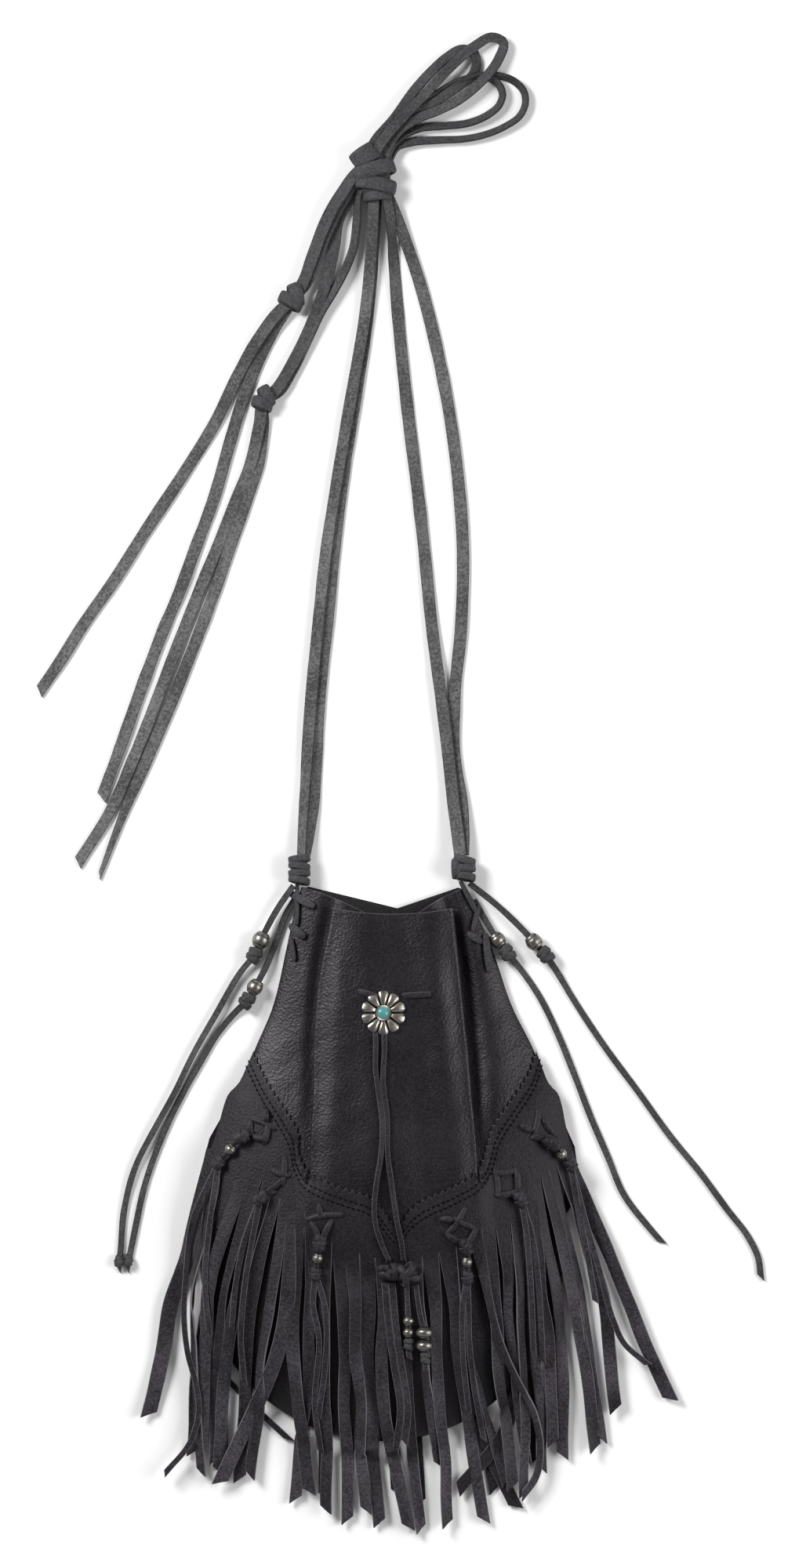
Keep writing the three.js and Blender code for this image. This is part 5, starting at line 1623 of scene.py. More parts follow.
@dataclass
class Concho:
    """The stamped silver disc of ten petals with its stone."""

    pouch: Pouch
    x: float = -12.7
    y: float = 95.2
    radius: float = 10.6
    petals: int = 10
    first_petal: float = math.radians(18.0)
    seat: float = 0.3
    foot: float = 8.0
    sides: int = 240
    # Rings of the disc, as parts of its radius: the stone's bed and bezel, the petals, the rim
    inner_levels: Row = (0.02, 0.27, 0.28, 0.3, 0.335, 0.35)
    petal_levels: Span = (0.37, 0.97)
    petal_steps: int = 16
    rim_levels: Row = (0.985, 1.0)
    bed_end: float = 0.28
    bed_height: float = 1.2
    bed_mark: float = 0.9
    bezel_end: float = 0.36
    bezel_height: float = 2.3
    bezel_notch: float = 0.2
    bezel_notches: float = 14.0
    petal_foot: float = 0.75
    petal_height: float = 1.3
    petal_rise: Span = (0.12, 0.8)
    petal_power: float = 0.6
    lobe_gain: float = 1.25
    lobe_power: float = 0.55
    gap_depth: float = 0.45
    gap_width: Span = (0.2, 0.09)
    tip_ramp: Span = (0.55, 1.0)
    tip_cut: float = 0.17
    tip_power: float = 1.6
    # Painted shade towards the petal tips, where they catch less light: where it starts and ends as parts of
    # the radius, and how dark it gets
    painted_shade_ramp: Span = (0.5, 0.95)
    painted_shade_mark: float = 0.42
    ditch_end: float = 0.39
    ditch_mark: float = 0.7
    stone_seat: float = 1.35
    stone_radius: float = 3.0
    stone_girdle: float = 0.4
    stone_height: float = 1.75
    stone_end: float = 0.97
    stone_steps: int = 10
    stone_sides: int = 48

    def lean(self, rings: Array) -> Array:
        """Tilts rings of points to the slope of the leather.

        Args:
            rings: Points, the last column their height.

        Returns:
            The points with heights that follow the slope.
        """
        height, x, y, foot = self.pouch.height, self.x, self.y, self.foot
        slope_x = (height(x + foot, y) - height(x - foot, y)) / (2.0 * foot)
        slope_y = (height(x, y + foot) - height(x, y - foot)) / (2.0 * foot)
        leaned = rings.copy()
        leaned[..., 2] += slope_x * (rings[..., 0] - x) + slope_y * (rings[..., 1] - y)
        return leaned

    def ring(self, spin: Array, reach: Values, height: Values) -> Array:
        """Points round the middle of the disc at angles, with one distance and height for all or for each."""
        level = np.broadcast_to(height, spin.shape)
        return np.column_stack([self.x + reach * np.cos(spin), self.y + reach * np.sin(spin), level])

    def relief(self, part: float, spin: Array, lobe: Array) -> tuple[Array, Array]:
        """Height and darkness round the disc: patina in its hollows and painted shade towards the petal tips.

        Args:
            part: Part of the way from the middle to the rim.
            spin: Angles of the points.
            lobe: How near each of them is to the middle of a petal, from 0 to 1.

        Returns:
            The heights and how dark each point is.
        """
        if part < self.bed_end:
            return np.full(spin.shape, self.bed_height), np.full(spin.shape, self.bed_mark)
        if part < self.bezel_end:
            notch = self.bezel_notch * np.abs(np.sin(spin * self.bezel_notches))
            return self.bezel_height - notch, self.bezel_notch + notch
        widest, narrower = self.gap_width
        gap = np.exp(-((lobe * part / (widest - narrower * part)) ** 2))
        start, share = self.petal_rise
        outward = (part - self.bezel_end) / (1.0 - self.bezel_end)
        puff = math.sin(math.pi * min(start + share * outward, 1.0)) ** self.petal_power
        full = np.clip(lobe * self.lobe_gain, 0.0, 1.0) ** self.lobe_power
        height = self.petal_foot + self.petal_height * puff * full - self.gap_depth * gap
        # Painted shade: the petals darken towards their tips
        tarnish_and_painted_shade = self.painted_shade_mark * smoothstep(*self.painted_shade_ramp, part)
        ditch = self.ditch_mark if part < self.ditch_end else 0.0
        return height, np.clip(gap + tarnish_and_painted_shade + ditch, 0.0, 1.0)

    def build(self) -> None:
        """Makes the disc and its stone."""
        low = self.pouch.height(self.x, self.y) + float(self.pouch.crumple(self.x, self.y)) + self.seat
        spin = full_turn(self.sides)
        lobe = np.abs(np.cos((spin - self.first_petal) * self.petals / 2.0))
        rings, marks = [], []
        petals = np.linspace(*self.petal_levels, self.petal_steps).tolist()
        for part in [*self.inner_levels, *petals, *self.rim_levels]:
            cut = self.tip_cut * (1.0 - lobe) ** self.tip_power * smoothstep(*self.tip_ramp, part)
            height, patina_and_shade = self.relief(part, spin, lobe)
            rings.append(self.ring(spin, self.radius * part * (1.0 - cut), low + height))
            marks.append(patina_and_shade)
        rings.append(rings[-1] * [1, 1, 0] + [0, 0, low])
        marks.append(np.ones(spin.shape))
        draft = Draft()
        draft.tube(self.lean(np.array(rings))[::-1, ::-1], np.array(marks)[::-1, ::-1])
        draft.make("concho_silver", SILVER, Slot.SILVER, 35.0, "concho")
        self.build_stone(low + self.stone_seat)

    def build_stone(self, low: float) -> None:
        """Makes the cabochon.

        Args:
            low: Height of its underside.
        """
        spin = full_turn(self.stone_sides)
        turns = np.linspace(0.0, self.stone_end, self.stone_steps) * math.pi / 2.0
        rings = [self.ring(spin, self.stone_radius, low)]
        for turn in turns:
            high = low + self.stone_girdle + self.stone_height * math.sin(turn)
            rings.append(self.ring(spin, self.stone_radius * math.cos(turn), high))
        draft = Draft()
        draft.tube(self.lean(np.array(rings)))
        draft.make("concho_cabochon", TURQUOISE, Slot.TURQUOISE, 60.0, "concho_stone")


# Cords


@dataclass(frozen=True)
class LaceCut:
    """How a lace is cut: its sizes, its finish and how much of its flesh side shows.

    The rows of flesh are a part of the way along the lace and the value there.
    """

    width: float
    thick: float
    slant: float = 1.5
    taper: float = 1.0
    cup: float = 0.15
    flesh: Route = ((0.0, 0.25), (1.0, 0.25))
    finish: LeatherFinish = LACE_LEATHER


@dataclass
class Lace:
    """A free lace: its route, its roll and what is tied or threaded on it.

    A row of the route is x, y and z, or x and y where the lace lies on the floor. A row of the rolls is a
    part of the way along the lace and the roll there in degrees.
    """

    name: str
    route: Sequence[Row]
    cut: LaceCut
    seed: int
    nodes: Sequence[str] = ()
    far_end: End = End.BARE
    rolls: Route = ((0.0, 0.0), (1.0, 0.0))
    pieces: Sequence[Piece] = ()
    floor: float = 0.95
    step: float = 1.8
    ragged: float = 0.04
    sway: float = 4.0
    sway_points: int = 14
    speckle: float = 0.12
    speckle_points: int = 8

    def build(self) -> None:
        cut, seed = self.cut, self.seed
        path = curve_through([(*row, self.floor)[:3] for row in self.route], self.step)
        count = len(path)
        along = np.linspace(0.0, 1.0, count)
        roll = np.interp(along, *np.transpose(self.rolls))
        roll = roll + self.sway * wander(count, max(count // self.sway_points, 2), seed)
        flesh = np.interp(along, *np.transpose(cut.flesh))
        flesh = flesh + self.speckle * wander(count, max(count // self.speckle_points, 2), seed + 1)
        draft = Draft()
        ribbon = Ribbon(cut.width, cut.thick, cut.slant, cut.taper, self.ragged, cut.cup, seed=seed)
        ribbon.add_to(draft, path, roll, np.clip(flesh, 0.0, 1.0))
        points = (path * MM).tolist()
        draft.make(self.name, cut.finish, Slot.LACE, 40.0, *self.nodes)
        points[0]
        polyline_length(path) * MM
        cut.width * MM
        self.far_end.value
        list(self.pieces)


@dataclass
class Strap:
    """The four strap laces, the strap knot, its loops and its tails."""

    strap: LaceCut = LaceCut(5.6, 1.4, 0.0, flesh=((0, 0.3), (0.1, 0.6), (0.3, 0.85), (1, 0.8)))
    right_width: float = 5.9
    loop: LaceCut = LaceCut(4.8, 1.4, 0.0)
    tail: LaceCut = LaceCut(5.8, 1.4, 1.6, 0.9, flesh=((0, 0.2), (0.3, 0.4), (0.42, 0.8), (1, 0.95)))
    last_taper: float = 0.35
    # Routes: x, y and z, or x and y on the floor
    straps: dict[str, Route] = field(default_factory=lambda: {
        "left_1": (
            (-17, 495, 7), (-17.3, 486.8, 6.8), (-17.6, 479, 5.4), (-18, 471.6, 4.6), (-21.5, 433.6, 2.8),
            (-27.9, 395.6, 2.8), (-34.4, 357.6, 2.8), (-40.3, 319.6, 2.8), (-44.5, 281.6, 2.8),
            (-48, 243.6, 2.8), (-50.4, 205.6, 3.6), (-51.8, 182, 5.4), (-52.2, 171, 6.6),
        ),
        "left_2": (
            (-16, 495, 5.2), (-16.2, 486.6, 4.8), (-16.8, 479, 3.2), (-20, 433.6), (-25.7, 395.6),
            (-31.7, 357.6), (-36.3, 319.6), (-40, 281.6), (-43.9, 243.6), (-45.4, 212, 1.3),
            (-46.4, 196, 2.2), (-48.4, 182, 3.4), (-50.5, 171, 4.8),
        ),
        "right_1": (
            (-13, 495, 5.2), (-9.6, 487.6, 4.4), (-6, 479, 2.8), (4.8, 448.8), (12.7, 418.4), (18.8, 388),
            (23, 357.6), (25.8, 319.6), (24.9, 281.6), (21.6, 245), (21.9, 217), (25.4, 195, 1.6),
            (26, 182, 3.2), (26, 171, 4.6),
        ),
        "right_2": (
            (-13, 494.6, 7), (-10.8, 487, 7), (-9.4, 479, 5.6), (-7.7, 460, 2), (-6.3, 441.2),
            (-3.6, 410.8), (-0.2, 380.4), (3.6, 350), (7, 319.6), (10.8, 281.6, 1.6), (14.8, 251.2, 2.9),
            (18.6, 220.8, 2.9), (21.4, 195, 3.8), (23.2, 182, 5.6), (24.5, 171, 7),
        ),
    })
    # Part of the way along, roll in degrees
    strap_rolls: dict[str, Route] = field(default_factory=lambda: {
        "left_1": ((0, 25), (0.1, 0), (0.8, 0), (0.9, 28), (1, 40)),
        "left_2": ((0, 30), (0.1, 0), (0.78, 0), (0.9, -28), (1, -35)),
        "right_1": ((0, 0), (0.75, 0), (0.9, 12), (1, 20)),
        "right_2": ((0, -35), (0.08, -45), (0.2, -5), (0.85, 0), (1, -15)),
    })
    loops: tuple[Route, ...] = (
        (
            (-18.6, 507.4, 7.6), (-13.9, 515.6, 8.4), (-4.8, 526.7, 7.6), (8.6, 540.7, 6.4),
            (20.7, 553.7, 5.2), (31.4, 562.8, 4), (41, 567.3, 3.4), (45.2, 565.1, 3.2),
            (43.1, 556.7, 3.8), (38.6, 549.9, 4.6), (32.5, 543.8, 4.8), (23.8, 536.9, 5),
            (13.5, 531.6, 5.2), (2.9, 527.4, 5.4), (-5.5, 521.7, 5.6), (-9.7, 515.4, 5.6),
            (-13.6, 506.4, 6),
        ),
        (
            (-20.6, 508.6, 6.6), (-17.2, 516, 7), (-7.4, 527.8, 6.2), (2.1, 541.1, 5), (10.5, 550.6, 4),
            (18, 557.5, 3), (25.7, 561.6, 2.4), (31, 560.1, 2.2), (32.5, 555.2, 2.2), (30.6, 549.1, 2.4),
            (23.8, 543.8, 3), (14.3, 537.3, 3.6), (4.8, 530.9, 4.2), (-4, 522.9, 5), (-11.2, 516.2, 5.6),
            (-15.4, 507, 5.8),
        ),
        (
            (-17, 507, 5.2), (-12.4, 515.6, 4.6), (-1, 528.6, 4.2), (12.4, 539.2, 3), (21.9, 544.9, 2.4),
            (29.5, 547.6, 2), (37.8, 548, 2.3), (42.8, 544.9, 2.3), (45, 540, 2.3), (43.5, 534.7, 2.3),
            (37.8, 529.7, 2.3), (28.7, 525.9, 2.3), (16.2, 524.4, 2.3), (4.8, 523.3, 2.6),
            (-4, 519.5, 3.4), (-8, 515.8, 4.4), (-12.4, 506, 5),
        ),
        (
            (-15.4, 506.6, 4.4), (-11, 514.8, 3.2), (1, 527.8, 2.6), (14.3, 538, 2), (25.7, 545.3, 2.2),
            (34, 548.7, 2.2), (43.1, 548.7, 2.3), (51.1, 545.7, 2.3), (55.5, 540.7, 2.3), (56, 535, 2.3),
            (53.4, 529.3, 2.3), (46.6, 524.4, 2.3), (37.8, 520.6, 2.2), (27.6, 518.3, 2.2),
            (14.3, 517.6, 2.2), (1, 516.6, 2.4), (-6, 514.6, 3), (-11.6, 505.4, 4.4),
        ),
    )
    loop_rolls: tuple[Route, ...] = (
        ((0, 0), (0.35, 10), (0.5, 30), (0.6, 20), (1, 0)),
        ((0, 0), (0.4, -15), (0.5, -35), (0.6, -20), (1, 0)),
        ((0, 20), (0.25, 48), (0.5, 55), (0.75, 48), (1, 20)),
        ((0, 20), (0.25, 50), (0.5, 58), (0.75, 50), (1, 20)),
    )
    tails: dict[str, Route] = field(default_factory=lambda: {
        "a": (
            (-21, 506, 7.2), (-28.9, 497.4, 7.4), (-31.6, 493.2, 7.2), (-37, 484.9, 6.6),
            (-41.6, 475.4, 6), (-47.3, 460.2, 5), (-51.9, 448, 5.2), (-56.4, 440.8, 5.4),
            (-63.3, 434.3, 4), (-75, 418.4, 2.4), (-83.4, 403.2, 1.2), (-94.4, 380.4), (-108.5, 357.6),
            (-128.6, 327.2), (-143.1, 304.4), (-159, 281.6), (-168.5, 266.4), (-179.4, 250.4),
        ),
        "b": (
            (-21.4, 504, 6), (-28.9, 494.4, 5.9), (-31.2, 490.2, 5.7), (-35.2, 483.7, 5.2),
            (-39.7, 473.5, 4.8), (-45.4, 460.2, 3.8), (-50.4, 448, 3.8), (-56.4, 440.8, 3.8),
            (-61, 433.6, 2.6), (-65.6, 426, 1.4), (-73.2, 410.8), (-80.2, 393.7), (-86.6, 372.8),
            (-95.4, 342.4), (-103.9, 319.6), (-112.3, 296.8), (-118.8, 281.6), (-127.5, 258.8),
            (-141.2, 220.8), (-149.3, 199),
        ),
        "c": (
            (-20.4, 500.6, 4), (-26.6, 493.4, 2.8), (-29.8, 488, 2.5), (-34.4, 479.2, 2.4),
            (-36.7, 465.9, 2.6), (-40.5, 448.8, 2.6), (-45.4, 433.6, 2.6), (-51.1, 420.3, 2.6),
            (-59.1, 405.1, 3.4), (-64.8, 396.3, 4), (-70.5, 391.4, 4.4), (-72.6, 380.4, 3),
            (-76.8, 361.4, 1.4), (-84.4, 342.4), (-93.4, 319.6), (-99.8, 304.4), (-108.9, 281.6),
            (-120.6, 251.2), (-132.6, 220.8), (-146.2, 190.4), (-160.7, 167.4),
        ),
        "d": (
            (-21, 499, 5), (-24.6, 491.6, 4.6), (-25.6, 478, 3.2), (-27.6, 464, 2.9), (-31.4, 454.5, 2.9),
            (-37, 444.2, 2.8), (-43.5, 433.6, 2.6), (-49.6, 421.4, 2.2), (-57.6, 405.1, 2),
            (-63.7, 395.6, 2.6), (-70.5, 391.4, 2.8), (-70.9, 380.4, 1.6), (-73.2, 361.4), (-79.2, 342.4),
            (-87.4, 319.6), (-92.5, 304.4), (-101, 281.6), (-113, 251.2), (-125.8, 220.8), (-139, 190.4),
            (-150.2, 161),
        ),
    })
    tail_rolls: dict[str, Route] = field(default_factory=lambda: {
        "a": ((0, 20), (0.15, 0), (1, 0)),
        "b": ((0, -10), (0.15, 0), (1, 0)),
        "c": ((0, 15), (0.2, 0), (1, 0)),
        "d": ((0, 50), (0.05, 55), (0.18, 45), (0.26, 10), (0.35, 0), (1, 0)),
    })
    # Turns of a knot: x, y, z, angle, reach, rise, width, thickness, skew
    knot_turns: Route = (
        (-21.4, 509.2, 7.4, 128, 7.0, 5.0, 9.6, 2.4, 0.5),
        (-17.0, 502.4, 7.2, 110, 10.4, 6.4, 7.4, 2.6, 1.0),
        (-16.4, 495.6, 7.0, 82, 10.2, 6.2, 6.8, 2.6, 0.8),
        (-15.6, 490.4, 6.2, 98, 7.0, 4.8, 5.4, 2.2, 0.6),
    )
    knot_core: Row = (-17.4, 500.4, 6.6, 12, 8, 5, 98)
    tail_turns: dict[str, Route] = field(default_factory=lambda: {
        "left": (
            (-55.2, 442.2, 4.4, 20, 6.2, 4.0, 6.4, 2.2, 1.0),
            (-57.6, 439.2, 4.4, 66, 6.4, 4.0, 6.0, 2.2, 0.8),
        ),
        "right": (
            (-69.4, 393.2, 4.3, 30, 5.6, 3.9, 6.0, 2.2, 0.9),
            (-71.4, 389.6, 4.3, 76, 5.4, 3.9, 5.6, 2.2, 0.8),
        ),
    })
    tail_cores: dict[str, Row] = field(default_factory=lambda: {
        "left": (-56.4, 440.8, 4.3, 5.4, 4.4, 3.2, 54),
        "right": (-70.5, 391.4, 4.2, 5.6, 4.2, 3.2, 62),
    })

    def build(self) -> None:
        """Makes the knots first and then every lace that ends in them."""
        knot = Knot([Wrap(*turn) for turn in self.knot_turns], self.knot_core)
        tied = {"left_1": [knot.build("strap_knot_lace", "strap_knot")]}
        for tail, side in (("a", "left"), ("c", "right")):
            knot = Knot([Wrap(*turn) for turn in self.tail_turns[side]], self.tail_cores[side])
            tied[tail] = [knot.build(f"tail_knot_{side}", f"strap_tail_{side}")]
        for k, (name, route) in enumerate(self.straps.items()):
            cut = replace(self.strap, width=self.right_width) if name.startswith("right") else self.strap
            ends = ((f"strap_{name}",), End.KNOT, self.strap_rolls[name], tied.get(name, ()))
            Lace(f"strap_{name}_lace", route, cut, 300 + k, *ends).build()
        for k, (route, rolls) in enumerate(zip(self.loops, self.loop_rolls)):
            Lace(f"strap_loop_{k + 1}", route, self.loop, 320 + k, ("strap_loops",), End.KNOT, rolls).build()
        for k, (name, route) in enumerate(self.tails.items()):
            cut = replace(self.tail, taper=self.last_taper) if name == "d" else self.tail
            rolls, pieces = self.tail_rolls[name], tied.get(name, ())
            Lace(f"strap_tail_{name}", route, cut, 340 + k, rolls=rolls, pieces=pieces).build()


@dataclass
class Corners:
    """The knots at the corners of the mouth, the lacing below them and the laces that hang from them."""

    pouch: Pouch
    dangle: LaceCut = LaceCut(3.0, 1.3, 1.8, flesh=((0, 0.2), (1, 0.32)))
    # Turns of a knot: x, y, z, angle, reach, rise, width, thickness, skew
    knot_turns: dict[str, Route] = field(default_factory=lambda: {
        "left": (
            (-53.4, 169.2, 6.2, 102, 5.4, 5.0, 3.4, 1.9, 0.7),
            (-53.4, 165.8, 6.2, 85, 5.4, 5.0, 3.4, 1.9, 0.7),
            (-53.4, 162.4, 6.2, 98, 5.4, 5.0, 3.4, 1.9, 0.7),
            (-53.4, 159.0, 6.2, 83, 5.4, 5.0, 3.4, 1.9, 0.7),
        ),
        "right": (
            (26.6, 168.5, 6.2, 82, 5.5, 5.2, 3.8, 2.0, 0.7),
            (26.6, 164.7, 6.2, 99, 5.5, 5.2, 3.8, 2.0, 0.7),
            (26.6, 160.9, 6.2, 85, 5.5, 5.2, 3.8, 2.0, 0.7),
            (22.4, 164.6, 6.4, 4, 5.2, 4.6, 4.0, 2.0, 0.3),
        ),
    })
    knot_cores: dict[str, Row] = field(default_factory=lambda: {
        "left": (-53.4, 163.8, 6.2, 6.6, 4.2, 4.0, 90),
        "right": (26, 164.5, 6.2, 5.6, 4.6, 4.2, 90),
    })
    # Routes: x, y and z, or x and y on the floor
    dangles: dict[str, Route] = field(default_factory=lambda: {
        "left_1": (
            (-56.2, 156.4, 5.2), (-63.4, 146, 4.6), (-72, 130, 4.4), (-75.4, 122.6, 4.3), (-81, 115.6, 3),
            (-94.1, 93.5, 2.8), (-104.7, 74.9, 2.8), (-113.8, 56.2, 2.8), (-122.6, 40.1, 2.8),
            (-132.8, 20.3, 2), (-138.5, -1.9, 1.1), (-140.2, -21.7), (-141.2, -29.4),
        ),
        "left_2": (
            (-55.8, 149.5, 2.4), (-60.2, 142, 1.8), (-64.4, 130, 1.4), (-70.4, 115.4, 3.6), (-75, 107, 4),
            (-79, 100.4, 4), (-83.5, 96, 2), (-93.5, 84), (-101.3, 71), (-113, 49.7), (-121, 32.2),
            (-128.4, 11), (-133, -9.9), (-135.4, -21.7), (-137, -29.4),
        ),
        "right_1": (
            (31.2, 149.5, 2.4), (34.8, 143, 2.8), (42.6, 130, 4), (47.4, 123.6, 4), (52.4, 117.6, 2),
            (62, 104.1), (72.4, 83.2), (79.5, 65.7), (88, 43.7), (96, 25.1), (103.9, 6.5), (115.5, -8.7),
            (122.4, -16.7),
        ),
        "right_2": (
            (28.9, 157.6, 5.4), (44, 145.4, 4.4), (60.2, 129.2, 4.1), (66, 122.6, 4.1), (70.5, 116, 2),
            (78.3, 103), (94.4, 78.5), (110.8, 56.4), (126, 35.3), (141.2, 16.7), (153.9, -0.6),
            (164.4, -14.4), (168.9, -23.9), (170.2, -33.6),
        ),
    })
    # x, y, z and radius of the bead, x and y of the knot below it
    beads: dict[str, Row] = field(default_factory=lambda: {
        "left_1": (-72, 130, 4.4, 4.2, -75.2, 122.8),
        "left_2": (-74.9, 107.2, 4, 3.85, -78.8, 100.8),
        "right_1": (42.6, 130, 4, 3.85, 47.2, 123.8),
        "right_2": (60.2, 129.2, 4.1, 4.0, 65.8, 122.8),
    })
    bead_length: float = 1.85
    bead_bore: float = 2.45
    # Radius, length
    knot_size: Span = (3.9, 7.0)
    # x, y, z, angle, radius, length of the knots at the laces' ends
    ends: dict[str, Row] = field(default_factory=lambda: {
        "left_1": (-140.8, -25.6, 2.3, 262.0, 2.3, 5.0),
        "left_2": (-136.3, -25.2, 2.3, 262.0, 2.3, 5.0),
    })
    # x, y of both ends of a stitch, its width, height of its arch
    lacing: dict[str, Route] = field(default_factory=lambda: {
        "left": (
            (-57.6, 152.6, -46.4, 146.4, 4.14, 1.6), (-54.4, 158.5, -54.6, 137.5, 2.34, 1.0),
            (-57.6, 137, -51.2, 131.8, 4.14, 1.8), (-57.4, 131, -55.8, 120.5, 2.34, 0.9),
        ),
        "right": (
            (24.6, 158.5, 33.4, 141.5, 2.7, 1.0), (28.6, 133.2, 34.6, 129.2, 3.78, 1.6),
            (36.8, 132.6, 38.7, 114.6, 3.78, 1.4), (33.6, 146.8, 30.6, 134.6, 2.7, 0.9),
        ),
    })
    stitch_thick: float = 1.3
    stitch_lift: float = 0.3
    stitch_power: float = 0.6
    stitch_cup: float = -0.5
    stitch_ends: float = 0.62
    stitch_flesh: float = 0.12
    stitch_steps: int = 15

    def build(self) -> None:
        """Makes the knots, the lacing and the hanging laces with their beads."""
        corner = {}
        for name, side in (("left_1", "left"), ("right_2", "right")):
            knot = Knot([Wrap(*turn) for turn in self.knot_turns[side]], self.knot_cores[side])
            corner[name] = knot.build(f"side_knot_{side}_lace", f"side_knot_{side}")
        for k, (name, route) in enumerate(self.dangles.items()):
            x, y, z, radius, knot_x, knot_y = self.beads[name]
            angle = math.degrees(math.atan2(y - knot_y, x - knot_x))
            bead = Bead(x, y, z, radius, radius * self.bead_length, self.bead_bore, angle)
            knot = small_knot(knot_x, knot_y, z, angle, *self.knot_size, Wrapping.CROSSED)
            pieces = [bead.build(f"dangle_bead_{name}_pewter", f"dangle_bead_{name}")]
            pieces.append(knot.build(f"dangle_knot_{name}"))
            if name in corner:
                pieces.append(corner[name])
            if name in self.ends:
                end = small_knot(*self.ends[name], Wrapping.CROSSED)
                pieces.append(end.build(f"dangle_end_{name}"))
            nodes = (f"dangle_{name}",)
            Lace(f"dangle_{name}_lace", route, self.dangle, 400 + k, nodes, pieces=pieces).build()
        for side, stitches in self.lacing.items():
            self.build_lacing(side, stitches)

    def build_lacing(self, side: str, stitches: Sequence[Row]) -> None:
        """Laces an edge with stitches that rise out of one hole and dip into the next.

        Args:
            side: Left or right.
            stitches: Both ends of each stitch in the plan, its width and how high it arches.
        """
        draft = Draft()
        along = np.linspace(0.0, 1.0, self.stitch_steps)
        bow = np.sin(math.pi * along) ** self.stitch_power
        for k, (x0, y0, x1, y1, width, arch) in enumerate(stitches):
            x, y = x0 + (x1 - x0) * along, y0 + (y1 - y0) * along
            level = np.array([self.pouch.cover(*place) for place in zip(x, y)])
            path = np.column_stack([x, y, level + self.stitch_lift + arch * bow])
            shape = {"cup": self.stitch_cup, "ends": self.stitch_ends}
            stitch = Ribbon(width, self.stitch_thick, **shape, seed=430 + k)
            stitch.add_to(draft, path, flesh=self.stitch_flesh)
        draft.make(f"edge_lacing_{side}_lace", LACE_LEATHER, Slot.LACE, 40.0, f"edge_lacing_{side}")


